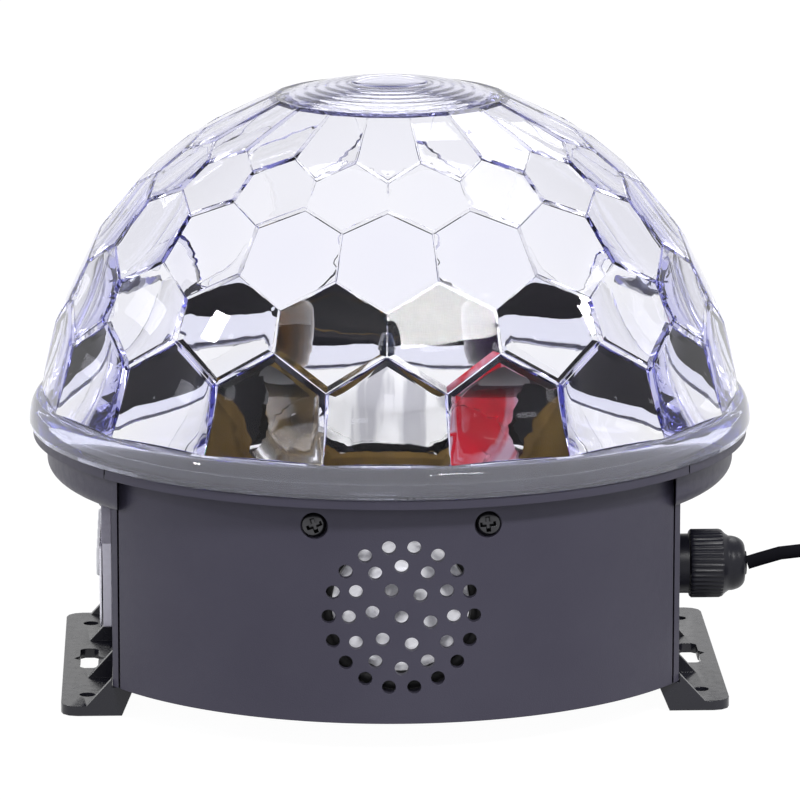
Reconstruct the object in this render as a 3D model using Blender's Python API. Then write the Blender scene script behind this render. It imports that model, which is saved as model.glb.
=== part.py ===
"""Faceted dome party light: a clear crystal dome on a dark round case with two foot brackets.

Units are metres, +Z is up. The origin is on the surface that the light stands on, under the
dome's axis. The front grille faces -Y, the control panel -X and the cable gland +X.
"""

import math

import bmesh
import bpy
from mathutils import Vector

# Clearances and general values
gap = 0.0003
overrun = 0.002
round_steps = 12
small_steps = 8
ring_steps = 54
smooth_angle = math.radians(35)
facet_angle = math.radians(5)

# Clear dome: facet corners lie on one sphere
dome_radius = 0.0967
dome_wall = 0.0034
dome_centre_drop = 0.0006
facet_count = 18
facets_turn = math.radians(-2.4)
corner_polar_degrees = (73.5, 67.4, 60.5, 55.3, 46.4, 42.2, 36.1, 31.6)
crown_corner_degrees = 19.2
crown_middle_degrees = 20.4
crown_ring_radius = 0.019
crown_ring_sink = 0.0005
crown_disc_radius = 0.0062
crown_disc_rise = 0.0002
inner_polar_degrees = (77, 61, 45, 29, 13)

# Dome flange
flange_reach = 0.0033
flange_bottom_z = 0.071
flange_height = 0.0083
flange_shoulder_reach = 0.0004
flange_shoulder_drop = 0.0003
flange_edge_height = 0.0012
flange_foot_chamfer = 0.0003
flange_arc_steps = 3

# Dome screw bosses
dome_boss_inset = 0.0092
dome_boss_radius = 0.0034
dome_boss_height = 0.0125
dome_boss_rib = 0.002
dome_boss_bore = 0.0017
dome_boss_bore_depth = 0.0095

# Case outline
case_inset = 0.0043
case_bottom_z = 0.0083
panel_wall = 0.0022
lip_inset = 0.0011
lip_height = 0.0025
side_cut = 0.0154
side_wall = 0.0019
lip_seam_offset = 0.0035
panel_steps = 16

# Side mouldings: the fairing under the dome's rim
fairing_inset = 0.0016
fairing_corner = 0.0038
fairing_drop = 0.0132
fairing_slope_drop = 0.0008
fairing_wall = 0.002
fairing_steps = 17
fairing_corner_steps = 3

# Grille
grille_z = 0.0374
grille_hole_radius = 0.00185
grille_ring_counts = (6, 12, 18)
grille_ring_radii = (0.0078, 0.0139, 0.0193)
grille_ring_turn_degrees = (-10, 0, 0)
grille_hole_steps = 6

# Cross-head screws
screw_head_radius = 0.0033
screw_head_height = 0.0018
screw_shank_radius = 0.0014
screw_hole_radius = 0.0017
screw_cross_length = 0.0038
screw_cross_width = 0.0009
screw_cross_depth = 0.0010

# Panel screws, their recesses and bosses
panel_screw_x = 0.023
panel_screw_drop = 0.0091
panel_screw_length = 0.009
panel_recess_radius = 0.0036
panel_recess_depth = 0.0051
panel_boss_radius = 0.0052
panel_boss_depth = 0.0071

# Deck under the dome
deck_thickness = 0.0022
deck_edge_clearance = 0.0009
deck_lug_width = 0.009
deck_lug_depth = 0.006
deck_lug_below_screw = 0.0045
deck_shaft_hole_radius = 0.0045
deck_notch_width = 0.0078

# Light board and lamps
board_radius = 0.039
board_thickness = 0.0016
board_hole_radius = 0.0085
lamp_colours = ("white", "red", "violet", "blue", "green", "amber")
lamp_ring_radius = 0.029
lamp_base_radius = 0.0042
lamp_base_height = 0.0014
lamp_lens_radius = 0.0031
lamp_lens_height = 0.0022

# Drive motor and shaft
motor_radius = 0.018
motor_height = 0.017
motor_nose_radius = 0.0038
motor_nose_height = 0.002
motor_bore_depth = 0.005
shaft_radius = 0.0025
shaft_fit = 0.0002

# Turning disc with its lens plate
disc_radius = 0.042
disc_thickness = 0.002
disc_above_lamps = 0.0012
disc_hub_radius = 0.0062
disc_hub_below = 0.0036
lens_count = 6
lens_ring_radius = 0.029
lens_hole_radius = 0.0094
lens_bulge_radius = 0.0088
lens_bulge_height = 0.0085
lens_plate_radius = 0.039
lens_plate_thickness = 0.0014
lens_plate_hole_radius = 0.0066
disc_screw_head_radius = 0.0029
disc_screw_head_height = 0.0016
disc_screw_shank_radius = 0.0012
disc_screw_depth = 0.005
disc_screw_bore_radius = 0.0015

# Base tray
base_thickness = 0.0025
base_boss_radius = 0.0042
base_boss_height = 0.0072
base_post_radius = 0.0022
base_post_height = 0.003

# Foot brackets
foot_reach = 0.0142
foot_flange_thickness = 0.0027
foot_length = 0.1026
foot_corner = 0.0045
foot_corner_steps = 3
foot_inner_bottom_inset = 0.0024
foot_inner_top_inset = 0.0058
gusset_reach = 0.0072
gusset_top_z = 0.0102
gusset_thickness = 0.0022
gusset_edge = 0.0011
gusset_spacing = 0.0301
keyhole_reach = 0.0071
keyhole_length = 0.021
keyhole_width = 0.0051
keyhole_lobe = 0.0042
keyhole_lobe_half = 0.0022
flange_hole_edge = 0.0123
flange_hole_radius = 0.0022
tongue_inset = 0.0195
tongue_edge = 0.0113
tongue_thickness = 0.0025
foot_screw_inset = 0.0125
foot_screw_edge = 0.008
foot_screw_length = 0.0085

# Control panel on the left wall
control_width = 0.060
control_bottom_z = 0.0189
control_top_z = 0.0560
control_step_z = 0.0430
control_thickness = 0.0027
control_plate_thickness = 0.0006
control_corner = 0.002
window_width = 0.0552
window_bottom_z = 0.0205
window_top_z = 0.0535
button_count = 5
button_pitch = 0.011
button_z = 0.0362
button_radius = 0.0042
button_proud = 0.0009
button_travel = 0.0008
button_collar = 0.0008
button_chamfer = 0.0004
infrared_z = 0.0490
infrared_radius = 0.003
infrared_length = 0.0066
usb_y = 0.0105
usb_z = 0.0258
usb_width = 0.0132
usb_height = 0.0057
usb_length = 0.0145
usb_wall = 0.0004
usb_tongue_width = 0.0111
usb_tongue_thickness = 0.0018
usb_tongue_back = 0.0022
card_y = -0.0115
card_z = 0.0258
card_width = 0.0146
card_height = 0.0034
card_length = 0.0142
card_slot_width = 0.0116
card_slot_height = 0.0014
card_slot_depth = 0.0125

# Main board behind the control panel
main_board_thickness = 0.0016
main_board_width = 0.058
main_board_bottom_z = 0.0155
main_board_top_z = 0.0548
switch_size = 0.006
chip_width = 0.010
chip_height = 0.0035
chip_z = 0.0485
chip_y = 0.017
chip_thickness = 0.0016

# Speakers
speaker_z = 0.0394
speaker_rim_radius = 0.025
speaker_rim_thickness = 0.0015
speaker_cone_radius = 0.0183
speaker_cone_depth = 0.0082
speaker_cap_radius = 0.0075
speaker_cap_rise = 0.0026
speaker_skin = 0.0009
speaker_frame_radius = 0.0205
speaker_waist_radius = 0.0115
speaker_magnet_radius = 0.0150
speaker_magnet_depth = 0.0075
speaker_seat_inner_radius = 0.0234
speaker_seat_outer_radius = 0.0254
speaker_steps = 20

# Power board
power_inset = 0.041
power_length = 0.044
power_width = 0.040
power_thickness = 0.0016
power_post_inset = 0.003
transformer_inset = 0.0505
transformer_length = 0.020
transformer_width = 0.024
transformer_height = 0.017
transformer_corner = 0.0012
capacitor_inset = 0.0325
capacitor_y = -0.0125
capacitor_radius = 0.005
capacitor_height = 0.014
terminal_inset = 0.0235
terminal_y = 0.0
terminal_length = 0.007
terminal_width = 0.010
terminal_height = 0.0175

# Cable gland in the right wall
gland_z = 0.0286
gland_thread_radius = 0.0074
gland_thread_length = 0.0068
gland_body_radius = 0.00835
gland_body_reach = 0.0064
gland_nut_radius = 0.0096
gland_nut_reach = 0.0222
gland_shoulder_reach = 0.0158
gland_neck_reach = 0.0177
gland_neck_radius = 0.0077
gland_dome_steps = 4
gland_mouth_radius = 0.0046
gland_bore_radius = 0.0036
gland_seal_reach = 0.0227
gland_seal_radius = 0.0033
gland_seal_start_reach = 0.0075
gland_lock_radius = 0.0098
gland_lock_width = 0.0038

# Mains lead
cord_radius = 0.00195
cord_steps = 0.008
cord_route = (
    (0.1000, 0.0000, 0.0286),
    (0.1036, 0.0000, 0.0297),
    (0.1092, 0.0000, 0.0313),
    (0.1148, -0.0003, 0.0320),
    (0.1204, -0.0018, 0.0311),
    (0.1256, -0.0048, 0.0284),
    (0.1302, -0.0090, 0.0240),
    (0.1343, -0.0138, 0.0187),
    (0.1384, -0.0185, 0.0134),
    (0.1429, -0.0226, 0.0087),
    (0.1480, -0.0254, 0.0053),
    (0.1534, -0.0267, 0.0034),
    (0.1588, -0.0268, 0.0028),
    (0.1640, -0.0264, 0.0027),
)
tail_route = (
    (0.1724, -0.0264, 0.0160),
    (0.1766, -0.0263, 0.0160),
    (0.1819, -0.0252, 0.0160),
    (0.1873, -0.0224, 0.0158),
    (0.1919, -0.0182, 0.0152),
    (0.1953, -0.0128, 0.0140),
    (0.1976, -0.0066, 0.0123),
    (0.1987, -0.0001, 0.0104),
    (0.1991, 0.0066, 0.0087),
    (0.1992, 0.0136, 0.0075),
)
inside_route = (
    (0.0994, 0.0000, 0.0286),
    (0.0784, 0.0000, 0.0286),
    (0.0573, 0.0000, 0.0286),
)
coil_mean_radius = 0.022
coil_gap = 0.0005
coil_layers = 4
coil_turns_per_layer = 2
coil_points_per_turn = 24
climb_turns = 0.5
tie_width = 0.006
tie_thickness = 0.0004

# Plug at the end of the lead
plug_relief_length = 0.020
plug_relief_start_radius = 0.0029
plug_relief_end_radius = 0.0046
plug_body_length = 0.026
plug_body_width = 0.0240
plug_body_height = 0.0140
plug_corner = 0.003
plug_pin_radius = 0.0020
plug_pin_length = 0.019
plug_pin_pitch = 0.019
plug_pin_socket = 0.004

# Places worked out from the sizes above
dome_centre_z = flange_bottom_z - dome_centre_drop
dome_boss_x = dome_radius - dome_boss_inset
flange_radius = dome_radius + flange_reach
flange_shoulder_radius = dome_radius + flange_shoulder_reach
flange_top_z = flange_bottom_z + flange_height
lip_radius = flange_radius - lip_inset
case_radius = dome_radius - case_inset
side_face_x = case_radius - side_cut
seam_x = side_face_x - side_wall
lip_seam_x = seam_x + lip_seam_offset
fairing_radius = dome_radius - fairing_inset
fairing_bottom_z = flange_bottom_z - fairing_drop
panel_screw_z = flange_bottom_z - panel_screw_drop
panel_recess_floor_y = case_radius - panel_recess_depth
panel_boss_back_y = case_radius - panel_boss_depth
foot_outer_x = side_face_x + foot_reach
foot_inner_bottom_x = side_face_x - foot_inner_bottom_inset
foot_inner_top_x = side_face_x - foot_inner_top_inset
foot_screw_x = side_face_x - foot_screw_inset
gusset_foot_x = side_face_x + gusset_reach
gusset_outer_y = foot_length / 2 - gusset_edge
gusset_inner_y = gusset_outer_y - gusset_spacing
flange_hole_y = foot_length / 2 - flange_hole_edge
tongue_length = foot_length - 2 * tongue_edge
foot_screw_y = tongue_length / 2 - foot_screw_edge
keyhole_x = side_face_x + keyhole_reach
tongue_inner_x = side_face_x - tongue_inset
power_centre_x = side_face_x - power_inset
transformer_x = side_face_x - transformer_inset
capacitor_x = side_face_x - capacitor_inset
terminal_x = side_face_x - terminal_inset
gland_body_end_x = side_face_x + gland_body_reach
gland_nut_end_x = side_face_x + gland_nut_reach
gland_shoulder_x = side_face_x + gland_shoulder_reach
gland_neck_x = side_face_x + gland_neck_reach
gland_seal_end_x = side_face_x + gland_seal_reach
gland_seal_start_x = side_face_x + gland_seal_start_reach
lip_top_z = flange_bottom_z - gap
lip_bottom_z = lip_top_z - lip_height
dome_inner_radius = dome_radius - dome_wall
deck_bottom_z = lip_top_z + gap
deck_top_z = deck_bottom_z + deck_thickness
deck_radius = dome_inner_radius - deck_edge_clearance
board_bottom_z = deck_top_z + gap
board_top_z = board_bottom_z + board_thickness
lamp_bottom_z = board_top_z + gap
lamp_top_z = lamp_bottom_z + lamp_base_height + lamp_lens_height
disc_bottom_z = lamp_top_z + disc_above_lamps
disc_top_z = disc_bottom_z + disc_thickness
lens_plate_z = disc_top_z + gap
shaft_top_z = disc_top_z
motor_top_z = deck_bottom_z - gap
panel_inner_radius = case_radius - panel_wall
panel_middle_radius = case_radius - panel_wall / 2
speaker_face_y = math.sqrt((panel_inner_radius - 2 * gap) ** 2 - speaker_rim_radius**2)
wall_inner_x = seam_x + gap / 2
base_top_z = case_bottom_z + base_thickness
foot_top_z = case_bottom_z - gap
foot_wall_x = side_face_x + gap
control_inner_x = side_face_x + gap
control_face_x = control_inner_x + control_thickness
plate_floor_x = control_face_x - control_plate_thickness / 2
plate_face_x = plate_floor_x + gap + control_plate_thickness
button_face_x = plate_face_x + button_proud
button_back_x = side_face_x
main_board_face_x = wall_inner_x - gap - 4 * button_travel
coil_pitch = 2 * cord_radius + coil_gap
coil_start_x, coil_start_y, coil_start_z = cord_route[-1]
coil_centre_x = coil_start_x + gap + 2 * cord_radius
coil_centre_y = coil_start_y + coil_mean_radius + coil_turns_per_layer * coil_pitch / 2
plug_start_x, tail_end_y, plug_start_z = tail_route[-1]


def material(name, colour, roughness, metallic=0.0, clear=0.0):
    """A plain Principled material."""
    made = bpy.data.materials.new(name)
    made.use_nodes = True
    shader = made.node_tree.nodes["Principled BSDF"]
    shader.inputs["Base Color"].default_value = (*colour, 1.0)
    shader.inputs["Roughness"].default_value = roughness
    shader.inputs["Metallic"].default_value = metallic
    shader.inputs["Transmission Weight"].default_value = clear
    made.diffuse_color = (*colour, 1.0)
    return made


def circle(radius, steps, centre=(0.0, 0.0)):
    """Points round a circle, from -Y towards +X."""
    cx, cy = centre
    turns = [math.tau * k / steps for k in range(steps)]
    return [(cx + radius * math.sin(a), cy - radius * math.cos(a)) for a in turns]


def arc(centre, radius, start, end, steps):
    """Points along an arc in a plane; angles run from the first axis to the second."""
    turns = [start + (end - start) * k / steps for k in range(steps + 1)]
    return [(centre[0] + radius * math.cos(a), centre[1] + radius * math.sin(a)) for a in turns]


def rounded_box_outline(width, height, corner, steps=2):
    """A rectangle about the origin with round corners."""
    x, y = width / 2 - corner, height / 2 - corner
    points = []
    for k, centre in enumerate(((x, y), (-x, y), (-x, -y), (x, -y))):
        points += arc(centre, corner, k * math.pi / 2, (k + 1) * math.pi / 2, steps)
    return points


def prism(outline, low, high):
    """A closed prism over an outline in X and Y."""
    bm = bmesh.new()
    rings = [[bm.verts.new((x, y, z)) for x, y in outline] for z in (low, high)]
    count = len(outline)
    for k in range(count):
        m = (k + 1) % count
        bm.faces.new((rings[0][k], rings[0][m], rings[1][m], rings[1][k]))
    bm.faces.new(rings[1])
    bm.faces.new(list(reversed(rings[0])))
    return bm


def block(low, high):
    """A closed box between two corners."""
    (x0, y0, z0), (x1, y1, z1) = low, high
    return prism([(x0, y0), (x1, y0), (x1, y1), (x0, y1)], z0, z1)


def turned(profile, steps, start=0.0, sweep=math.tau):
    """A solid turned about Z from (radius, height) points that run round its section."""
    full = math.isclose(sweep, math.tau)
    columns = steps if full else steps + 1
    angles = [start + sweep * k / steps for k in range(columns)]
    bm = bmesh.new()
    rings = []
    for radius, height in profile:
        if radius == 0:
            rings.append([bm.verts.new((0.0, 0.0, height))] * columns)
        else:
            rings.append(
                [bm.verts.new((radius * math.sin(a), -radius * math.cos(a), height)) for a in angles]
            )
    for lower, upper in zip(rings, rings[1:] + rings[:1]):
        for k in range(steps):
            m = (k + 1) % columns
            corners = list(dict.fromkeys((lower[k], lower[m], upper[m], upper[k])))
            if len(corners) > 2:
                bm.faces.new(corners)
    if not full:
        bm.faces.new([ring[0] for ring in rings])
        bm.faces.new([ring[-1] for ring in rings])
    return bm


def together(*parts):
    """Several meshes as one, each still a body of its own."""
    bm = bmesh.new()
    for part in parts:
        mesh = bpy.data.meshes.new("scrap")
        part.to_mesh(mesh)
        part.free()
        bm.from_mesh(mesh)
        bpy.data.meshes.remove(mesh)
    return bm


def moved(bm, place):
    """The same mesh, moved."""
    bmesh.ops.translate(bm, verts=bm.verts, vec=Vector(place))
    return bm


def solid(name, bm, finish, place=(0.0, 0.0, 0.0), turn=(0.0, 0.0, 0.0), crease=smooth_angle):
    """An object from a mesh, with faces out, round parts smooth, placed and turned."""
    bmesh.ops.recalc_face_normals(bm, faces=bm.faces)
    mesh = bpy.data.meshes.new(name)
    bm.to_mesh(mesh)
    bm.free()
    mesh.materials.append(finish)
    mesh.shade_smooth()
    mesh.set_sharp_from_angle(angle=crease)
    made = bpy.data.objects.new(name, mesh)
    made.location = place
    made.rotation_euler = turn
    bpy.context.scene.collection.objects.link(made)
    return made


def shape_with(target, bm, operation, place=(0.0, 0.0, 0.0), turn=(0.0, 0.0, 0.0)):
    """Cuts, joins or trims a piece with a guide shape, which stays as a wire."""
    guide = solid(f"{target.name}_guide_{len(target.modifiers) + 1}", bm, guide_finish, place, turn)
    guide.hide_render = True
    guide.display_type = "WIRE"
    step = target.modifiers.new(operation.lower(), "BOOLEAN")
    step.operation = operation
    step.solver = "EXACT"
    step.object = guide
    return guide


def hole(radius, low, high, steps=small_steps, centre=(0.0, 0.0)):
    """A round cutter along Z that runs past both faces."""
    return prism(circle(radius, steps, centre), low - overrun, high + overrun)


towards = {
    "+X": (0.0, math.pi / 2, 0.0),
    "-X": (0.0, -math.pi / 2, 0.0),
    "+Y": (-math.pi / 2, 0.0, 0.0),
    "-Y": (math.pi / 2, 0.0, 0.0),
    "-Z": (math.pi, 0.0, 0.0),
    "+Z": (0.0, 0.0, 0.0),
}


def dome_shell():
    """The faceted shell: houses, three rows of hexagons, houses again, crown and flange."""
    bm = bmesh.new()
    half = math.pi / facet_count

    def corner(polar_degrees, half_steps):
        polar = math.radians(polar_degrees)
        turn = half * half_steps
        radius = dome_radius * math.sin(polar)
        height = dome_centre_z + dome_radius * math.cos(polar)
        return bm.verts.new((radius * math.sin(turn), -radius * math.cos(turn), height))

    def ring_of(polar_degrees, first):
        return {k: corner(polar_degrees, k) for k in range(first, 2 * facet_count, 2)}

    def at(ring, k):
        return ring[k % (2 * facet_count)]

    firsts = (1, 0, 0, 1, 1, 0, 0, 1)
    rings = [ring_of(polar, first) for polar, first in zip(corner_polar_degrees, firsts)]
    crown = ring_of(crown_corner_degrees, 1)
    crown_middle = ring_of(crown_middle_degrees, 0)
    foot_polar = math.degrees(math.acos((flange_top_z - dome_centre_z) / dome_radius))
    foot = ring_of(foot_polar, 1)
    per_facet = ring_steps // facet_count
    seam = []
    for k in range(0, 2 * facet_count, 2):
        left, right = at(foot, k - 1), at(foot, k + 1)
        row = [left]
        for step in range(1, per_facet):
            row.append(bm.verts.new(left.co.lerp(right.co, step / per_facet)))
        seam += row
        bm.faces.new((*row, right, at(rings[0], k + 1), at(rings[1], k), at(rings[0], k - 1)))
    for bottom in (0, 2, 4):
        first = firsts[bottom]
        names = rings[bottom : bottom + 4]
        for k in range(first, 2 * facet_count, 2):
            bm.faces.new(
                (
                    at(names[0], k),
                    at(names[1], k + 1),
                    at(names[2], k + 1),
                    at(names[3], k),
                    at(names[2], k - 1),
                    at(names[1], k - 1),
                )
            )
    for k in range(0, 2 * facet_count, 2):
        bm.faces.new(
            (
                at(rings[6], k),
                at(rings[7], k + 1),
                at(crown, k + 1),
                at(crown_middle, k),
                at(crown, k - 1),
                at(rings[7], k - 1),
            )
        )

    def level(radius, height, steps, shift):
        turns = [math.tau * k / steps + shift for k in range(steps)]
        return [bm.verts.new((radius * math.sin(a), -radius * math.cos(a), height)) for a in turns]

    def bridge(lower, upper):
        count = len(lower)
        for k in range(count):
            m = (k + 1) % count
            bm.faces.new((lower[k], lower[m], upper[m], upper[k]))

    def sphere_height(radius):
        return dome_centre_z + math.sqrt(dome_radius**2 - radius**2)

    border = [at(crown_middle, k) if k % 2 == 0 else at(crown, k) for k in range(2 * facet_count)]
    crown_z = sphere_height(crown_ring_radius) - crown_ring_sink
    disc_z = sphere_height(crown_disc_radius) - crown_ring_sink
    inner_crown = level(crown_ring_radius, crown_z, 2 * facet_count, 0.0)
    disc_foot = level(crown_disc_radius, disc_z, 2 * facet_count, 0.0)
    disc_top = level(crown_disc_radius, disc_z + crown_disc_rise, 2 * facet_count, 0.0)
    bridge(border, inner_crown)
    bridge(inner_crown, disc_foot)
    bridge(disc_foot, disc_top)
    bm.faces.new(disc_top)

    shoulder_z = flange_top_z - flange_shoulder_drop
    edge_z = flange_bottom_z + flange_edge_height
    outline = []
    for step in range(flange_arc_steps + 1):
        a = math.pi / 2 * step / flange_arc_steps
        radius = flange_shoulder_radius + (flange_radius - flange_shoulder_radius) * math.sin(a)
        outline.append((radius, edge_z + (shoulder_z - edge_z) * math.cos(a)))
    outline.append((flange_radius - flange_foot_chamfer, flange_bottom_z))
    outline.append((dome_inner_radius, flange_bottom_z))
    for polar_degrees in inner_polar_degrees:
        polar = math.radians(polar_degrees)
        radius = dome_inner_radius * math.sin(polar)
        outline.append((radius, dome_centre_z + dome_inner_radius * math.cos(polar)))
    shift = -half
    below = seam
    for radius, height in outline:
        ring = level(radius, height, ring_steps, shift)
        bridge(ring, below)
        below = ring
    bm.faces.new(below)
    return bm


def make_dome():
    """The clear dome with its flange and two screw bosses."""
    dome = solid(
        "crystal_dome", dome_shell(), clear, turn=(0.0, 0.0, facets_turn), crease=facet_angle
    )
    top = flange_bottom_z + dome_boss_height
    bosses = []
    bores = []
    for side in (-1, 1):
        x = side * dome_boss_x
        bosses.append(prism(circle(dome_boss_radius, round_steps, (x, 0.0)), flange_bottom_z, top))
        bores.append(
            prism(
                circle(dome_boss_bore, small_steps, (x, 0.0)),
                flange_bottom_z - overrun,
                flange_bottom_z + dome_boss_bore_depth,
            )
        )
    ribs = []
    rib_top = flange_bottom_z + dome_boss_height - dome_boss_rib
    rib_end = dome_inner_radius + dome_wall / 4
    for side in (-1, 1):
        low_x, high_x = sorted((side * dome_boss_x, side * rib_end))
        ribs.append(
            block(
                (low_x, -dome_boss_rib / 2, flange_bottom_z + gap / 2),
                (high_x, dome_boss_rib / 2, rib_top),
            )
        )
    shape_with(dome, together(*ribs), "UNION")
    shape_with(dome, together(*bosses), "UNION")
    shape_with(dome, together(*bores), "DIFFERENCE")


def into_wall(bm):
    """Ends a boss or ring at the middle of the curved wall; its heights run outwards."""
    for vert in bm.verts:
        if vert.co.z > panel_inner_radius:
            vert.co.z = math.sqrt(panel_middle_radius**2 - vert.co.x**2)
    bmesh.ops.triangulate(bm, faces=bm.faces)
    return bm


def make_panels():
    """The curved front panel with its grille, and the same moulding at the back."""
    section = [
        (panel_inner_radius, case_bottom_z),
        (case_radius, case_bottom_z),
        (case_radius, lip_bottom_z),
        (lip_radius, lip_bottom_z),
        (lip_radius, lip_top_z),
        (panel_inner_radius, lip_top_z),
    ]
    reach = math.asin(seam_x / case_radius) + math.radians(4)
    for name, turn in (("front_panel", 0.0), ("rear_panel", math.pi)):
        facing = (0.0, 0.0, turn)
        panel = solid(name, turned(section, panel_steps, -reach, 2 * reach), case_plastic, turn=facing)
        wall_end = seam_x - gap / 2
        lip_end = lip_seam_x - gap / 2
        trims = []
        for side in (-1, 1):
            for end, low, high in (
                (wall_end, case_bottom_z - overrun, lip_bottom_z),
                (lip_end, case_bottom_z - overrun, lip_top_z + overrun),
            ):
                low_x, high_x = sorted((side * end, side * lip_radius))
                trims.append(block((low_x, -lip_radius, low), (high_x, 0.0, high)))
        for trim in trims:
            shape_with(panel, trim, "DIFFERENCE", turn=facing)
        seat = turned(
            [
                (speaker_seat_inner_radius, speaker_face_y + gap),
                (speaker_seat_outer_radius, speaker_face_y + gap),
                (speaker_seat_outer_radius, panel_middle_radius),
                (speaker_seat_inner_radius, panel_middle_radius),
            ],
            2 * small_steps,
        )
        bosses = []
        recesses = []
        bores = []
        for side in (-1, 1):
            centre = (side * panel_screw_x, panel_screw_z)
            boss = prism(
                circle(panel_boss_radius, small_steps, centre), panel_boss_back_y, panel_middle_radius
            )
            bosses.append(into_wall(boss))
            recesses.append(
                prism(
                    circle(panel_recess_radius, round_steps, centre),
                    panel_recess_floor_y,
                    case_radius + overrun,
                )
            )
            bores.append(hole(screw_hole_radius, panel_boss_back_y, case_radius, centre=centre))
        facing_out = (math.pi / 2, 0.0, turn)
        seat = into_wall(moved(seat, (0.0, speaker_z, 0.0)))
        shape_with(panel, seat, "UNION", turn=facing_out)
        shape_with(panel, together(*bosses), "UNION", turn=facing_out)
        shape_with(panel, together(*recesses), "DIFFERENCE", turn=facing_out)
        shape_with(panel, together(*bores), "DIFFERENCE", turn=facing_out)
        outer = case_radius + overrun
        inner = panel_inner_radius * math.cos(math.asin(speaker_rim_radius / case_radius)) - overrun
        holes = [prism(circle(grille_hole_radius, grille_hole_steps, (0.0, grille_z)), inner, outer)]
        for count, radius, turned_degrees in zip(
            grille_ring_counts, grille_ring_radii, grille_ring_turn_degrees
        ):
            for k in range(count):
                a = math.tau * k / count + math.radians(turned_degrees)
                centre = (radius * math.cos(a), grille_z + radius * math.sin(a))
                holes.append(prism(circle(grille_hole_radius, grille_hole_steps, centre), inner, outer))
        shape_with(panel, together(*holes), "DIFFERENCE", turn=facing_out)


def side_moulding(name, side, finish):
    """A flat side wall with the fairing and the lip piece over it."""
    steps = fairing_corner_steps
    corner_centre = (fairing_radius - fairing_corner, fairing_bottom_z + fairing_corner)
    skin = fairing_wall
    inner_r = wall_inner_x - overrun * 3
    outer = [
        (inner_r, fairing_bottom_z - fairing_slope_drop),
        *arc(corner_centre, fairing_corner, -math.pi / 2, 0.0, steps),
        (fairing_radius, lip_bottom_z),
        (lip_radius, lip_bottom_z),
        (lip_radius, lip_top_z),
        (inner_r, lip_top_z),
        (inner_r, lip_bottom_z),
        (fairing_radius - skin, lip_bottom_z),
        *arc(corner_centre, fairing_corner - skin, 0.0, -math.pi / 2, steps),
        (inner_r, fairing_bottom_z - fairing_slope_drop + skin),
    ]
    reach = math.acos(inner_r / lip_radius) + math.radians(3)
    middle = side * math.pi / 2
    wing = solid(name, turned(outer, fairing_steps, middle - reach, 2 * reach), finish)
    trim_x = sorted((0.0, side * wall_inner_x))
    shape_with(
        wing,
        block((trim_x[0], -lip_radius, case_bottom_z), (trim_x[1], lip_radius, lip_radius)),
        "DIFFERENCE",
    )
    lip_x = sorted((0.0, side * (lip_seam_x + gap / 2)))
    shape_with(
        wing,
        block(
            (lip_x[0], -lip_radius, lip_bottom_z - gap),
            (lip_x[1], lip_radius, lip_top_z + overrun),
        ),
        "DIFFERENCE",
    )
    back_x = wall_inner_x + gap / 2
    inner_y = math.sqrt(case_radius**2 - back_x**2)
    outer_y = math.sqrt(case_radius**2 - side_face_x**2)
    outline = [
        (side * back_x, -inner_y),
        (side * side_face_x, -outer_y),
        (side * side_face_x, outer_y),
        (side * back_x, inner_y),
    ]
    wall_top = fairing_bottom_z + skin / 2
    shape_with(wing, prism(outline, case_bottom_z, wall_top), "UNION")
    x = side * dome_boss_x
    shape_with(
        wing,
        prism(circle(screw_hole_radius, small_steps, (x, 0.0)), lip_bottom_z - gap, lip_top_z + overrun),
        "DIFFERENCE",
    )
    return wing


def make_sides():
    """Left wall with the window for the controls, right wall with the gland's hole."""
    left = side_moulding("left_side", -1, case_plastic)
    shape_with(
        left,
        block(
            (-side_face_x - overrun, -window_width / 2, window_bottom_z),
            (-wall_inner_x + overrun, window_width / 2, window_top_z),
        ),
        "DIFFERENCE",
    )
    right = side_moulding("right_side", 1, case_plastic)
    shape_with(
        right,
        prism(
            circle(gland_thread_radius + gap, 2 * small_steps),
            wall_inner_x - overrun,
            side_face_x + overrun,
        ),
        "DIFFERENCE",
        place=(0.0, 0.0, gland_z),
        turn=towards["+X"],
    )


def screw_mesh(length, head_radius=screw_head_radius, head_height=screw_head_height,
               shank_radius=screw_shank_radius):
    """A pan-head screw that points down Z: its seat is at the origin, its head above."""
    profile = [
        (0.0, -length),
        (shank_radius, -length + shank_radius),
        (shank_radius, 0.0),
        (head_radius, 0.0),
        (head_radius, head_height / 3),
        (head_radius * 3 / 4, head_height),
        (0.0, head_height),
    ]
    return turned(profile, small_steps)


def cross_mesh(head_height):
    """The cross recess, as two crossed blocks joined in one outline."""
    arm, half = screw_cross_length / 2, screw_cross_width / 2
    outline = [
        (arm, -half), (arm, half), (half, half), (half, arm), (-half, arm), (-half, half),
        (-arm, half), (-arm, -half), (-half, -half), (-half, -arm), (half, -arm), (half, -half),
    ]
    return prism(outline, head_height - screw_cross_depth, head_height + overrun)


def make_screw(name, length, place, turn):
    """A cross-head screw with its seat at the place given."""
    screw = solid(name, screw_mesh(length), screw_steel, place, turn)
    shape_with(screw, cross_mesh(screw_head_height), "DIFFERENCE", place, turn)


def make_screws():
    """Panel screws, dome screws and foot screws."""
    for name, facing, sign in (("front", "-Y", -1), ("rear", "+Y", 1)):
        for side, side_name in ((-1, "left"), (1, "right")):
            y = sign * (panel_recess_floor_y + gap)
            place = (side * panel_screw_x, y, panel_screw_z)
            make_screw(f"{name}_panel_screw_{side_name}", panel_screw_length, place, towards[facing])
    for side, side_name in ((-1, "left"), (1, "right")):
        place = (side * dome_boss_x, 0.0, lip_bottom_z - gap)
        make_screw(f"dome_screw_{side_name}", panel_screw_length, place, towards["-Z"])
        for y, end_name in ((-foot_screw_y, "front"), (foot_screw_y, "rear")):
            place = (side * foot_screw_x, y, foot_top_z - tongue_thickness - gap)
            make_screw(f"{side_name}_foot_screw_{end_name}", foot_screw_length, place, towards["-Z"])


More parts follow.
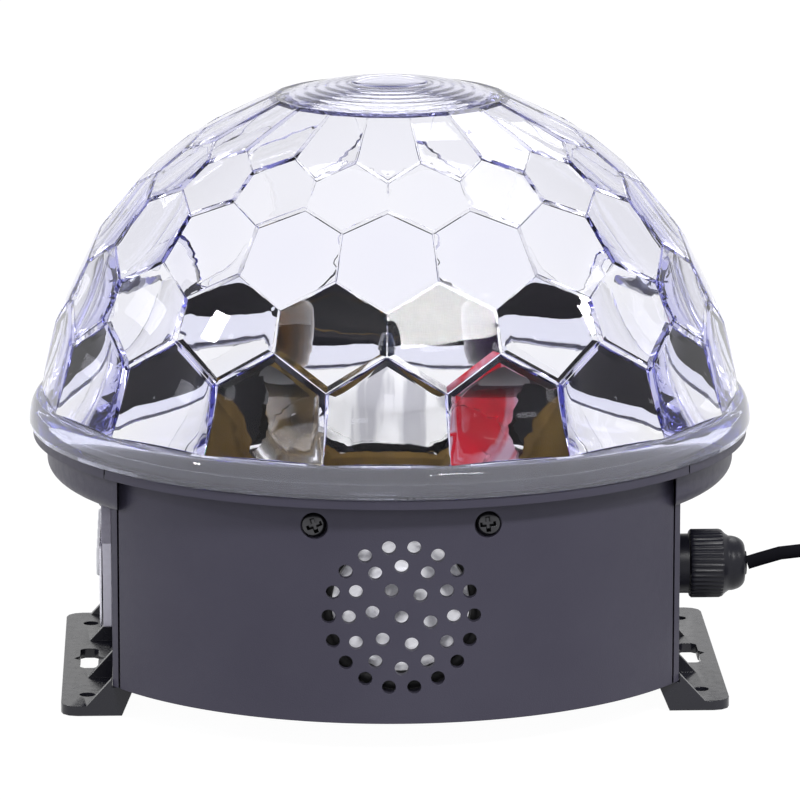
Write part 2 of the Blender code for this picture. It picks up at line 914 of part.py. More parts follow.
def make_deck():
    """The round deck that closes the case and carries lamps, motor and dome."""
    sheet = prism(circle(deck_radius, 3 * round_steps), deck_bottom_z, deck_top_z)
    deck = solid("deck", sheet, deck_plastic)
    lug_outer_y = panel_boss_back_y - gap
    lug_inner_y = lug_outer_y - deck_lug_depth
    lugs = []
    bores = []
    for front in (-1, 1):
        for side in (-1, 1):
            x = side * panel_screw_x
            low_y, high_y = sorted((front * lug_inner_y, front * lug_outer_y))
            lugs.append(
                block(
                    (x - deck_lug_width / 2, low_y, panel_screw_z - deck_lug_below_screw),
                    (x + deck_lug_width / 2, high_y, deck_top_z - deck_thickness / 2),
                )
            )
    shape_with(deck, together(*lugs), "UNION")
    for side in (-1, 1):
        bores.append(
            prism(
                circle(screw_hole_radius, small_steps, (side * panel_screw_x, panel_screw_z)),
                -lug_outer_y - overrun,
                lug_outer_y + overrun,
            )
        )
    shape_with(deck, together(*bores), "DIFFERENCE", turn=towards["-Y"])
    shape_with(deck, hole(deck_shaft_hole_radius, deck_bottom_z, deck_top_z, round_steps), "DIFFERENCE")
    notches = []
    notch_start = dome_boss_x - deck_notch_width / 2
    for side in (-1, 1):
        low_x, high_x = sorted((side * notch_start, side * (deck_radius + overrun)))
        notches.append(
            block(
                (low_x, -deck_notch_width / 2, deck_bottom_z - overrun),
                (high_x, deck_notch_width / 2, deck_top_z + overrun),
            )
        )
    shape_with(deck, together(*notches), "DIFFERENCE")


def make_lamps():
    """The round light board and its six lamps."""
    sheet = prism(circle(board_radius, 2 * round_steps), board_bottom_z, board_top_z)
    board = solid("light_board", sheet, board_black)
    shape_with(board, hole(board_hole_radius, board_bottom_z, board_top_z, round_steps), "DIFFERENCE")
    lens_steps = 3
    profile = [(0.0, 0.0), (lamp_base_radius, 0.0), (lamp_base_radius, lamp_base_height)]
    for step in range(lens_steps):
        a = math.pi / 2 * step / lens_steps
        height = lamp_base_height + lamp_lens_height * math.sin(a)
        profile.append((lamp_lens_radius * math.cos(a), height))
    profile.append((0.0, lamp_base_height + lamp_lens_height))
    for k, colour in enumerate(lamp_colours):
        a = math.tau * k / len(lamp_colours)
        place = (lamp_ring_radius * math.sin(a), -lamp_ring_radius * math.cos(a), lamp_bottom_z)
        solid(f"lamp_{colour}", turned(profile, small_steps), lamp_finishes[colour], place)


def make_drive():
    """Motor under the deck, its shaft, the turning disc, the lens plate and their screw."""
    nose_top = motor_top_z + motor_nose_height
    motor_profile = [
        (0.0, motor_top_z - motor_height),
        (motor_radius, motor_top_z - motor_height),
        (motor_radius, motor_top_z),
        (motor_nose_radius, motor_top_z),
        (motor_nose_radius, nose_top),
        (shaft_radius + shaft_fit, nose_top),
        (shaft_radius + shaft_fit, motor_top_z - motor_bore_depth),
        (0.0, motor_top_z - motor_bore_depth),
    ]
    solid("drive_motor", turned(motor_profile, 2 * small_steps), motor_steel)

    shaft_bottom = motor_top_z - motor_bore_depth + gap
    shaft_profile = [
        (0.0, shaft_bottom),
        (shaft_radius, shaft_bottom),
        (shaft_radius, shaft_top_z),
        (disc_screw_bore_radius, shaft_top_z),
        (disc_screw_bore_radius, shaft_top_z - disc_screw_depth - gap),
        (0.0, shaft_top_z - disc_screw_depth - gap),
    ]
    drop = Vector((0.0, 0.0, -disc_bottom_z))
    axis = (0.0, 0.0, disc_bottom_z)
    solid("disc_shaft", moved(turned(shaft_profile, 2 * small_steps), drop), bright_steel, axis)

    hub_bore = shaft_radius + gap
    disc_profile = [
        (hub_bore, -disc_hub_below),
        (disc_hub_radius, -disc_hub_below),
        (disc_hub_radius, 0.0),
        (disc_radius, 0.0),
        (disc_radius, disc_thickness),
        (hub_bore, disc_thickness),
    ]
    disc = solid("pattern_disc", turned(disc_profile, 2 * round_steps), disc_plastic, axis)
    openings = []
    bulges = []
    for k in range(lens_count):
        a = math.tau * k / lens_count
        centre = (lens_ring_radius * math.sin(a), -lens_ring_radius * math.cos(a))
        openings.append(hole(lens_hole_radius, 0.0, disc_thickness, round_steps, centre))
        bulges.append(lens_bulge(centre))
    shape_with(disc, together(*openings), "DIFFERENCE", axis)

    plate_low = lens_plate_z - disc_bottom_z
    plate = solid(
        "lens_plate",
        prism(circle(lens_plate_radius, 2 * round_steps), plate_low, plate_low + lens_plate_thickness),
        clear,
        axis,
    )
    shape_with(plate, together(*bulges), "UNION", axis)
    cut = hole(lens_plate_hole_radius, plate_low, plate_low + lens_plate_thickness, round_steps)
    shape_with(plate, cut, "DIFFERENCE", axis)

    screw = screw_mesh(
        disc_screw_depth, disc_screw_head_radius, disc_screw_head_height, disc_screw_shank_radius
    )
    seat = shaft_top_z + gap - disc_bottom_z
    solid("disc_screw", moved(screw, (0.0, 0.0, seat)), screw_steel, axis)


def lens_bulge(centre):
    """One round lens that stands on the lens plate."""
    base = lens_plate_z - disc_bottom_z + lens_plate_thickness / 2
    rim = base + lens_plate_thickness / 2
    profile = [
        (0.0, base),
        (lens_bulge_radius, base),
        (lens_bulge_radius, rim),
        (lens_bulge_radius * 5 / 7, rim + lens_bulge_height * 2 / 3),
        (0.0, rim + lens_bulge_height),
    ]
    return moved(turned(profile, round_steps), (*centre, 0.0))


def base_outline():
    """The case outline at the base: two arcs between two flats."""
    radius = panel_inner_radius - gap
    flat_x = wall_inner_x - gap
    reach = math.asin(flat_x / radius)
    points = []
    for middle in (-math.pi / 2, math.pi / 2):
        points += arc((0.0, 0.0), radius, middle - reach, middle + reach, panel_steps)
    return points


def power_corners():
    """The places of the power board's four posts."""
    dx = power_length / 2 - power_post_inset
    dy = power_width / 2 - power_post_inset
    return [(power_centre_x + sx * dx, sy * dy) for sx in (-1, 1) for sy in (-1, 1)]


def make_base():
    """The tray that closes the case from below, with bosses for the feet and the power board."""
    base = solid("base_tray", prism(base_outline(), case_bottom_z, base_top_z), case_plastic)
    root = base_top_z - base_thickness / 2
    corners = [(sx * foot_screw_x, sy * foot_screw_y) for sx in (-1, 1) for sy in (-1, 1)]
    stands = [
        prism(circle(base_boss_radius, round_steps, place), root, base_top_z + base_boss_height)
        for place in corners
    ]
    stands += [
        prism(circle(base_post_radius, small_steps, place), root, base_top_z + base_post_height)
        for place in power_corners()
    ]
    shape_with(base, together(*stands), "UNION")
    bores = [
        prism(
            circle(screw_hole_radius, small_steps, place),
            case_bottom_z - overrun,
            base_top_z + base_boss_height - base_thickness / 2,
        )
        for place in corners
    ]
    shape_with(base, together(*bores), "DIFFERENCE")


def foot_outline(side):
    """Plan of the foot's flange, with its two outer corners rounded."""
    half = foot_length / 2
    x, y = foot_outer_x - foot_corner, half - foot_corner
    points = [(foot_inner_bottom_x, -half)]
    points += arc((x, -y), foot_corner, -math.pi / 2, 0.0, foot_corner_steps)
    points += arc((x, y), foot_corner, 0.0, math.pi / 2, foot_corner_steps)
    points.append((foot_inner_bottom_x, half))
    return [(side * px, py) for px, py in points]


def keyhole_outline(side):
    """A long slot with a pointed lobe on either side."""
    half_w, half_l = keyhole_width / 2, keyhole_length / 2
    points = []
    for end in (1, -1):
        points += [
            (end * half_w, -end * keyhole_lobe_half),
            (end * keyhole_lobe, 0.0),
            (end * half_w, end * keyhole_lobe_half),
            (end * half_w, end * (half_l - half_w / 2)),
            (end * half_w / 2, end * half_l),
            (-end * half_w / 2, end * half_l),
            (-end * half_w, end * (half_l - half_w / 2)),
        ]
    return [(side * keyhole_x + px, py) for px, py in points]


def make_foot(name, side):
    """A foot bracket: flange, four gussets, the block under the wall and its tongue."""
    foot = solid(name, prism(foot_outline(side), 0.0, foot_flange_thickness), foot_plastic)
    half = foot_length / 2
    section = [
        (foot_inner_bottom_x, 0.0),
        (foot_wall_x, 0.0),
        (foot_wall_x, foot_top_z),
        (foot_inner_top_x, foot_top_z),
    ]
    block_part = prism([(side * x, z) for x, z in section], -half, half)
    shape_with(foot, block_part, "UNION", turn=towards["-Y"])
    gusset = [
        (gusset_foot_x, foot_flange_thickness),
        (foot_wall_x, gusset_top_z),
        (foot_wall_x, foot_flange_thickness / 2),
        (gusset_foot_x, foot_flange_thickness / 2),
    ]
    gussets = []
    for y in (-gusset_outer_y, -gusset_inner_y, gusset_inner_y, gusset_outer_y):
        gussets.append(
            prism([(side * x, z) for x, z in gusset], -y - gusset_thickness / 2, -y + gusset_thickness / 2)
        )
    shape_with(foot, together(*gussets), "UNION", turn=towards["-Y"])
    low_x, high_x = sorted((side * tongue_inner_x, side * (foot_wall_x - gusset_thickness)))
    tongue = block(
        (low_x, -tongue_length / 2, foot_top_z - tongue_thickness),
        (high_x, tongue_length / 2, foot_top_z - gap / 4),
    )
    shape_with(foot, tongue, "UNION")
    holes = [prism(keyhole_outline(side), -overrun, foot_flange_thickness + overrun)]
    for y in (-flange_hole_y, flange_hole_y):
        centre = (side * keyhole_x, y)
        holes.append(hole(flange_hole_radius, 0.0, foot_flange_thickness, round_steps, centre))
    for y in (-foot_screw_y, foot_screw_y):
        centre = (side * foot_screw_x, y)
        holes.append(hole(screw_hole_radius, foot_top_z - tongue_thickness, foot_top_z, centre=centre))
    shape_with(foot, together(*holes), "DIFFERENCE")


def button_places():
    """How far along Y each button stands."""
    middle = (button_count - 1) / 2
    return [(k - middle) * button_pitch for k in range(button_count)]


def side_block(inner_x, outer_x, y, z, width, height):
    """A block on the left side, between two distances from the middle plane."""
    return block(
        (-outer_x, y - width / 2, z - height / 2),
        (-inner_x, y + width / 2, z + height / 2),
    )


def socket_cuts(inner_x, outer_x):
    """The two openings that the sockets pass through."""
    around = 2 * gap
    usb = side_block(inner_x, outer_x, usb_y, usb_z, usb_width + around, usb_height + around)
    card = side_block(inner_x, outer_x, card_y, card_z, card_width + around, card_height + around)
    return together(usb, card)


def left_round(radius, inner_x, outer_x, y, z, steps=round_steps):
    """A round cutter on the left side, lying along X; heights run outwards."""
    return moved(prism(circle(radius, steps), inner_x, outer_x), (z, y, 0.0))


def make_controls():
    """Control panel, silver plate, buttons, infrared window and the two sockets."""
    middle_z = (control_bottom_z + control_top_z) / 2
    outline = rounded_box_outline(control_top_z - control_bottom_z, control_width, control_corner)
    outline = [(x + middle_z, y) for x, y in outline]
    left = towards["-X"]
    front = prism(outline, control_inner_x, control_face_x)
    body = solid("control_panel", front, control_plastic, turn=left)
    low_part = prism(
        [
            (control_bottom_z - overrun, -control_width),
            (control_step_z, -control_width),
            (control_step_z, control_width),
            (control_bottom_z - overrun, control_width),
        ],
        plate_floor_x,
        control_face_x + overrun,
    )
    shape_with(body, low_part, "DIFFERENCE", turn=left)

    plate_height = control_step_z - gap - control_bottom_z
    plate_z = control_bottom_z + plate_height / 2
    plate_outline = rounded_box_outline(plate_height, control_width, control_corner)
    plate_outline = [(x + plate_z, y) for x, y in plate_outline]
    plate = solid(
        "control_plate",
        prism(plate_outline, plate_floor_x + gap, plate_face_x),
        silver_plastic,
        turn=left,
    )
    button_holes = [
        left_round(button_radius + gap, wall_inner_x, button_face_x, y, button_z) for y in button_places()
    ]
    button_holes.append(left_round(infrared_radius + gap, wall_inner_x, button_face_x, 0.0, infrared_z))
    shape_with(body, together(*button_holes), "DIFFERENCE", turn=left)
    plate_holes = [
        left_round(button_radius + gap, wall_inner_x, button_face_x, y, button_z) for y in button_places()
    ]
    shape_with(plate, together(*plate_holes), "DIFFERENCE", turn=left)
    for piece in (body, plate):
        shape_with(piece, socket_cuts(wall_inner_x, button_face_x), "DIFFERENCE")

    button_profile = [
        (0.0, -button_collar),
        (button_radius + button_collar, -button_collar),
        (button_radius + button_collar, 0.0),
        (button_radius, 0.0),
        (button_radius, button_face_x - button_back_x - button_chamfer),
        (button_radius - button_chamfer, button_face_x - button_back_x),
        (0.0, button_face_x - button_back_x),
    ]
    for k, y in enumerate(button_places()):
        mesh = turned(button_profile, round_steps)
        solid(f"button_{k + 1}", mesh, button_plastic, (-button_back_x, y, button_z), left)

    lens_profile = [
        (0.0, -infrared_length + infrared_radius),
        (infrared_radius, -infrared_length + infrared_radius),
        (infrared_radius, 0.0),
        (infrared_radius * 3 / 4, infrared_radius / 3),
        (0.0, infrared_radius / 2),
    ]
    solid(
        "infrared_window",
        turned(lens_profile, round_steps),
        infrared_plastic,
        (-control_face_x, 0.0, infrared_z),
        left,
    )
    make_usb()
    make_card_socket()


def make_usb():
    """A metal socket, open to the left, with its tongue on the back wall."""
    outer_x = plate_face_x - gap
    inner_x = outer_x - usb_length
    shell = solid(
        "usb_socket", side_block(inner_x, outer_x, usb_y, usb_z, usb_width, usb_height), bright_steel
    )
    hollow = side_block(
        inner_x + usb_tongue_back,
        outer_x + overrun,
        usb_y,
        usb_z,
        usb_width - 2 * usb_wall,
        usb_height - 2 * usb_wall,
    )
    shape_with(shell, hollow, "DIFFERENCE")
    tongue = side_block(
        inner_x + usb_tongue_back / 2,
        outer_x - usb_tongue_back,
        usb_y,
        usb_z,
        usb_tongue_width,
        usb_tongue_thickness,
    )
    shape_with(shell, tongue, "UNION")


def make_card_socket():
    """A flat socket with a slot for a small card."""
    outer_x = plate_face_x - gap
    inner_x = outer_x - card_length
    socket = solid(
        "card_socket", side_block(inner_x, outer_x, card_y, card_z, card_width, card_height), socket_plastic
    )
    slot = side_block(
        outer_x - card_slot_depth, outer_x + overrun, card_y, card_z, card_slot_width, card_slot_height
    )
    shape_with(socket, slot, "DIFFERENCE")


def make_main_board():
    """The upright board with its switches, cut out round the two sockets."""
    outer_x = main_board_face_x
    inner_x = outer_x - main_board_thickness
    height = main_board_top_z - main_board_bottom_z
    middle_z = (main_board_top_z + main_board_bottom_z) / 2
    board = solid(
        "main_board",
        side_block(inner_x, outer_x, 0.0, middle_z, main_board_width, height),
        board_green,
    )
    switch_end = button_back_x - button_collar - button_travel - gap
    parts = [
        side_block(outer_x - main_board_thickness / 2, switch_end, y, button_z, switch_size, switch_size)
        for y in button_places()
    ]
    infrared_back = control_face_x - infrared_length + infrared_radius
    receiver_root = outer_x - main_board_thickness / 2
    parts.append(
        side_block(receiver_root, infrared_back - gap, 0.0, infrared_z, switch_size, switch_size)
    )
    for side in (-1, 1):
        parts.append(
            side_block(
                inner_x - chip_thickness,
                inner_x + main_board_thickness / 2,
                side * chip_y,
                chip_z,
                chip_width,
                chip_height,
            )
        )
    shape_with(board, together(*parts), "UNION")
    shape_with(board, socket_cuts(inner_x - overrun, outer_x + overrun), "DIFFERENCE")


def make_speakers():
    """Basket with magnet, and cone with dust cap; heights run towards the grille."""
    rim = speaker_rim_thickness
    throat = speaker_cone_depth + rim
    back = throat + speaker_skin + gap
    basket_profile = [
        (0.0, -back - speaker_magnet_depth),
        (speaker_magnet_radius, -back - speaker_magnet_depth),
        (speaker_magnet_radius, -back),
        (speaker_waist_radius, -back + gap),
        (speaker_frame_radius, -rim),
        (speaker_rim_radius, -rim),
        (speaker_rim_radius, 0.0),
        (speaker_cone_radius + gap, 0.0),
        (speaker_cone_radius + gap, -rim),
        (speaker_cap_radius + gap, -throat - speaker_skin),
        (0.0, -throat - speaker_skin),
    ]
    cone_profile = [
        (0.0, -throat),
        (speaker_cap_radius - gap, -throat),
        (speaker_cone_radius - speaker_skin, -rim),
        (speaker_cone_radius, -rim),
        (speaker_cone_radius, 0.0),
        (speaker_cone_radius - speaker_skin, 0.0),
        (speaker_cap_radius + gap, -throat + speaker_skin),
        (speaker_cap_radius * 2 / 3, -throat + speaker_skin + speaker_cap_rise * 2 / 3),
        (0.0, -throat + speaker_skin + speaker_cap_rise),
    ]
    for name, facing, sign in (("front", "-Y", -1), ("rear", "+Y", 1)):
        place = (0.0, sign * speaker_face_y, speaker_z)
        basket = turned(basket_profile, speaker_steps)
        cone = turned(cone_profile, speaker_steps)
        solid(f"{name}_speaker", basket, speaker_black, place, towards[facing])
        solid(f"{name}_speaker_cone", cone, cone_silver, place, towards[facing])


def make_power():
    """The power board with its capacitor and terminal block, and the transformer."""
    bottom = base_top_z + base_post_height + gap
    top = bottom + power_thickness
    root = top - power_thickness / 2
    board = solid(
        "power_board",
        block(
            (power_centre_x - power_length / 2, -power_width / 2, bottom),
            (power_centre_x + power_length / 2, power_width / 2, top),
        ),
        board_green,
    )
    capacitor = prism(
        circle(capacitor_radius, round_steps, (capacitor_x, capacitor_y)), root, top + capacitor_height
    )
    terminal = block(
        (terminal_x - terminal_length / 2, terminal_y - terminal_width / 2, root),
        (terminal_x + terminal_length / 2, terminal_y + terminal_width / 2, top + terminal_height),
    )
    shape_with(board, together(capacitor, terminal), "UNION")
    outline = rounded_box_outline(transformer_length, transformer_width, transformer_corner)
    solid(
        "transformer",
        prism(outline, 0.0, transformer_height),
        transformer_yellow,
        (transformer_x, 0.0, top + gap),
    )


def make_gland():
    """Gland body through the wall, locknut inside, dome nut outside and the rubber seal."""
    right = towards["+X"]
    place = (0.0, 0.0, gland_z)
    bore = gland_bore_radius
    body_profile = [
        (bore, wall_inner_x - gland_thread_length),
        (gland_thread_radius, wall_inner_x - gland_thread_length),
        (gland_thread_radius, side_face_x + gap),
        (gland_body_radius, side_face_x + gap),
        (gland_body_radius, gland_body_end_x),
        (bore, gland_body_end_x),
    ]
    solid("gland_body", turned(body_profile, 2 * small_steps), gland_black, place, right)
    nut_start = gland_body_end_x + gap
    dome = []
    for step in range(gland_dome_steps + 1):
        a = math.pi / 2 * step / gland_dome_steps
        radius = gland_mouth_radius + (gland_neck_radius - gland_mouth_radius) * math.cos(a)
        dome.append((radius, gland_neck_x + (gland_nut_end_x - gland_neck_x) * math.sin(a)))
    nut_profile = [
        (bore, nut_start),
        (gland_nut_radius, nut_start),
        (gland_nut_radius, gland_shoulder_x),
        *dome,
        (bore, gland_nut_end_x),
    ]
    solid("gland_nut", turned(nut_profile, 2 * small_steps), gland_black, place, right)
    lock_end = wall_inner_x - gap
    lock_profile = [
        (gland_thread_radius + gap, lock_end - gland_lock_width),
        (gland_lock_radius, lock_end - gland_lock_width),
        (gland_lock_radius, lock_end),
        (gland_thread_radius + gap, lock_end),
    ]
    solid("gland_locknut", turned(lock_profile, 2 * small_steps), gland_black, place, right)
    seal_bore = cord_radius + gap
    seal_profile = [
        (seal_bore, gland_seal_start_x),
        (gland_seal_radius, gland_seal_start_x),
        (gland_seal_radius, gland_seal_end_x),
        (seal_bore, gland_seal_end_x),
    ]
    solid("gland_seal", turned(seal_profile, 2 * small_steps), cord_black, place, right)


def smooth_through(points, spacing):
    """Points about one spacing apart on a smooth curve through the route's own points."""
    known = [Vector(p) for p in points]
    known = [known[0] * 2 - known[1], *known, known[-1] * 2 - known[-2]]
    out = [known[1]]
    for p0, p1, p2, p3 in zip(known, known[1:], known[2:], known[3:]):
        steps = max(1, round((p2 - p1).length / spacing))
        for step in range(1, steps + 1):
            t = step / steps
            out.append(
                (
                    p1 * 2
                    + (p2 - p0) * t
                    + (p0 * 2 - p1 * 5 + p2 * 4 - p3) * t**2
                    + (p1 * 3 - p0 - p2 * 3 + p3) * t**3
                )
                / 2
            )
    return out


def tube(name, points, finish, resolution):
    """A round tube with filled ends along points."""
    curve = bpy.data.curves.new(name, "CURVE")
    curve.dimensions = "3D"
    curve.bevel_depth = cord_radius
    curve.bevel_resolution = resolution
    curve.use_fill_caps = True
    spline = curve.splines.new("POLY")
    spline.points.add(len(points) - 1)
    for point, place in zip(spline.points, points):
        point.co = (*place, 1.0)
    curve.materials.append(finish)
    made = bpy.data.objects.new(name, curve)
    bpy.context.scene.collection.objects.link(made)
    return made


def coil_point(turns):
    """A place on the coil: it spirals in and out at a steady rate and climbs at each reversal."""
    reach = coil_turns_per_layer * coil_pitch
    last = coil_layers - 1
    layer = min(int(turns // coil_turns_per_layer), last)
    along = turns - layer * coil_turns_per_layer
    share = along / coil_turns_per_layer
    inward = share if layer % 2 == 0 else 1 - share
    radius = coil_mean_radius + reach / 2 - reach * inward
    level = float(layer)
    if along < climb_turns / 2 and layer > 0:
        level = layer - 1 / 2 + along / climb_turns
    if coil_turns_per_layer - along < climb_turns / 2 and layer < last:
        level = layer + 1 / 2 - (coil_turns_per_layer - along) / climb_turns
    angle = math.tau * turns
    return Vector(
        (
            coil_centre_x + radius * math.sin(angle),
            coil_centre_y - radius * math.cos(angle),
            coil_start_z + coil_pitch * level,
        )
    )


def coil_route():
    """The coil's points, with a straight run of one diameter at each end."""
    total = coil_layers * coil_turns_per_layer
    count = total * coil_points_per_turn
    points = [coil_point(total * k / count) for k in range(count + 1)]
    straight = Vector((2 * cord_radius, 0.0, 0.0))
    return [points[0] - straight, *points, points[-1] + straight]


def least_gap(points):
    """The smallest clear distance from the coil's points to those over half a turn along."""
    apart = coil_points_per_turn // 2
    least = min((a - b).length for i, a in enumerate(points) for b in points[i + apart :])
    return least - 2 * cord_radius


def make_cord():
    """The lead inside, the free stretch, the coil, its tie and the tail to the plug."""
    inside = smooth_through(inside_route, cord_steps)
    tube("lead_inside", inside, cord_black, 1)
    tube("cord_lead", smooth_through(cord_route, cord_steps), cord_black, 2)
    coil = coil_route()
    tube("cord_coil", coil, cord_black, 1)
    tube("cord_tail", smooth_through(tail_route, cord_steps), cord_black, 2)
    print(f"least gap between the coil's turns: {least_gap(coil) * 1000:.2f} mm")

    reach = coil_turns_per_layer * coil_pitch / 2 + cord_radius + gap
    low = coil_start_z - cord_radius - gap
    high = coil_start_z + (coil_layers - 1) * coil_pitch + cord_radius + gap
    near = coil_mean_radius - reach
    far = coil_mean_radius + reach
    loop = [(near, low), (far, low), (far, high), (near, high)]
    shell = [
        (near - tie_thickness, low - tie_thickness),
        (far + tie_thickness, low - tie_thickness),
        (far + tie_thickness, high + tie_thickness),
        (near - tie_thickness, high + tie_thickness),
    ]
    bm = bmesh.new()
    sides = []
    for y in (-tie_width / 2, tie_width / 2):
        inner = [bm.verts.new((x, y, z)) for x, z in loop]
        outer = [bm.verts.new((x, y, z)) for x, z in shell]
        sides.append((inner, outer))
    (inner_a, outer_a), (inner_b, outer_b) = sides
    count = len(loop)
    for k in range(count):
        m = (k + 1) % count
        bm.faces.new((inner_a[k], inner_a[m], inner_b[m], inner_b[k]))
        bm.faces.new((outer_a[k], outer_b[k], outer_b[m], outer_a[m]))
        bm.faces.new((inner_a[k], outer_a[k], outer_a[m], inner_a[m]))
        bm.faces.new((inner_b[k], inner_b[m], outer_b[m], outer_b[k]))
    solid("cord_tie", bm, tie_black, (coil_centre_x, coil_centre_y, 0.0), (0.0, 0.0, math.pi / 2))


def make_plug():
    """A plain two-pin plug with a tapered relief, lying on the floor; heights run along it."""
    back = towards["+Y"]
    place = (plug_start_x, tail_end_y + gap, plug_start_z)
    body_start = plug_relief_length
    body_end = body_start + plug_body_length
    outline = rounded_box_outline(plug_body_width, plug_body_height, plug_corner)
    body = solid("plug", prism(outline, body_start, body_end), plug_black, place, back)
    relief = turned(
        [
            (0.0, 0.0),
            (plug_relief_start_radius, 0.0),
            (plug_relief_end_radius, body_start),
            (plug_relief_end_radius, body_start + overrun),
            (0.0, body_start + overrun),
        ],
        round_steps,
    )
    shape_with(body, relief, "UNION", place, back)
    sockets = []
    for side in (-1, 1):
        centre = (side * plug_pin_pitch / 2, 0.0)
        sockets.append(
            prism(
                circle(plug_pin_radius + gap, round_steps, centre),
                body_end - plug_pin_socket,
                body_end + overrun,
            )
        )
    shape_with(body, together(*sockets), "DIFFERENCE", place, back)
    for side, name in ((-1, "left"), (1, "right")):
        pin_start = body_end - plug_pin_socket + gap
        pin_end = body_end + plug_pin_length
        profile = [
            (0.0, pin_start),
            (plug_pin_radius, pin_start),
            (plug_pin_radius, pin_end - plug_pin_radius / 2),
            (plug_pin_radius / 2, pin_end),
            (0.0, pin_end),
        ]
        mesh = moved(turned(profile, round_steps), (side * plug_pin_pitch / 2, 0.0, 0.0))
        solid(f"plug_pin_{name}", mesh, bright_steel, place, back)


for old in list(bpy.data.objects):
    bpy.data.objects.remove(old, do_unlink=True)

guide_finish = material("guide", (0.5, 0.5, 0.5), 0.5)
clear = material("clear_styrene", (0.95, 0.95, 0.98), 0.03, clear=1.0)
case_plastic = material("case_plastic", (0.072, 0.068, 0.088), 0.42)
deck_plastic = material("deck_plastic", (0.035, 0.034, 0.042), 0.35)
foot_plastic = material("foot_plastic", (0.018, 0.018, 0.022), 0.28)
disc_plastic = material("disc_plastic", (0.107, 0.064, 0.014), 0.3)
control_plastic = material("control_plastic", (0.20, 0.20, 0.22), 0.4)
silver_plastic = material("silver_plastic", (0.62, 0.62, 0.66), 0.3, metallic=0.4)
button_plastic = material("button_plastic", (0.75, 0.75, 0.78), 0.35)
infrared_plastic = material("infrared_plastic", (0.05, 0.005, 0.01), 0.1)
socket_plastic = material("socket_plastic", (0.03, 0.03, 0.03), 0.5)
board_black = material("board_black", (0.016, 0.016, 0.018), 0.4)
board_green = material("board_green", (0.02, 0.16, 0.07), 0.4)
screw_steel = material("screw_steel", (0.18, 0.17, 0.17), 0.35, metallic=0.9)
bright_steel = material("bright_steel", (0.62, 0.62, 0.63), 0.25, metallic=1.0)
motor_steel = material("motor_steel", (0.5, 0.5, 0.52), 0.35, metallic=1.0)
speaker_black = material("speaker_black", (0.02, 0.02, 0.02), 0.5)
cone_silver = material("cone_silver", (0.72, 0.72, 0.74), 0.35, metallic=0.3)
transformer_yellow = material("transformer_yellow", (0.75, 0.55, 0.12), 0.5)
gland_black = material("gland_black", (0.02, 0.02, 0.023), 0.3)
cord_black = material("cord_black", (0.012, 0.012, 0.014), 0.4)
tie_black = material("tie_black", (0.02, 0.02, 0.02), 0.6)
plug_black = material("plug_black", (0.015, 0.015, 0.017), 0.4)
lamp_finishes = {
    "red": material("lamp_red", (0.8, 0.04, 0.03), 0.15),
    "green": material("lamp_green", (0.05, 0.6, 0.12), 0.15),
    "blue": material("lamp_blue", (0.05, 0.15, 0.8), 0.15),
    "white": material("lamp_white", (0.9, 0.9, 0.9), 0.15),
    "amber": material("lamp_amber", (0.85, 0.45, 0.05), 0.15),
    "violet": material("lamp_violet", (0.4, 0.08, 0.6), 0.15),
}

make_dome()
make_panels()
make_sides()
make_screws()
make_deck()
make_lamps()
make_drive()
make_base()
make_foot("left_foot", -1)
make_foot("right_foot", 1)
make_controls()
make_main_board()
make_speakers()
make_power()
make_gland()
make_cord()
make_plug()
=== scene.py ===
"""Looks of the faceted dome light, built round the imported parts. Units are metres."""

import math

import bmesh
import bpy
from mathutils import Matrix, Vector


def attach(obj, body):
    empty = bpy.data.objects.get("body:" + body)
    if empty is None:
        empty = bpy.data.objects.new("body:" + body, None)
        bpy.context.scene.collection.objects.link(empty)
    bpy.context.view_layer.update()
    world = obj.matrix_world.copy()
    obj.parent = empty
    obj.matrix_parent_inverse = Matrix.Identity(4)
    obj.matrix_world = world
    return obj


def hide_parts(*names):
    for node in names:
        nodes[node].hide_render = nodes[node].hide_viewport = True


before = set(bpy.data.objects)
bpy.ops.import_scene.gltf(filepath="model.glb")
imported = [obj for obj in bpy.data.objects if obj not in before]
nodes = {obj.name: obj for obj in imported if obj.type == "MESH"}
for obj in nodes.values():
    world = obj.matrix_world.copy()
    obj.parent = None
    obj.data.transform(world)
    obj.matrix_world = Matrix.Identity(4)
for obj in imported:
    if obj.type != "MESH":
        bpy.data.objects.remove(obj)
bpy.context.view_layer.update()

# Camera
camera_azimuth = math.radians(-2.03)
camera_elevation = math.radians(12.47)
camera_distance = 1.7386
camera_target = (0.00284, 0.0, 0.07597)
camera_lens = 281.77
camera_sensor = 36.0
camera_clip = 20.0

# General values: clearances, angles and how finely round parts are divided
gap = 0.0003
overrun = 0.002
smooth_angle = math.radians(32)
flat_angle = math.radians(1)
bevel_angle = math.radians(40)
weld_distance = 1e-7
copy_weld_distance = 1e-6
round_steps = 48
panel_steps = 96
wing_steps = 95
disc_steps = 96
hole_steps = 28
screw_steps = 36
boss_steps = 24
bore_steps = 16
arc_steps = 8
fairing_outer_steps = 12
fairing_inner_steps = 6
panel_spare = math.radians(4)
wing_spare = math.radians(3)

# Studio: the ceiling's strength in mirrored light and through the dome, with the heights it fades over
ceiling_mirrored = 0.5
ceiling_mirrored_fade = (0.2, 0.5)
ceiling_through = 0.7
ceiling_through_fade = (0.3, 0.8)
wall_mirrored = (0.55, (0.93, 0.94, 1.0, 1.0))  # strength, colour
dome_gloss = (0.2, 0.2, 0.2, 1.0)
clear_bounces = 48
glossy_bounces = 24
floor_reach = 6.0
floor_z = -0.0004
floor_glow = 1.16
floor_shading_share = 0.16
floor_shading = (0.35, 0.35, 0.37, 1.0)
floor_bounce = (0.24, 0.24, 0.25, 1.0)

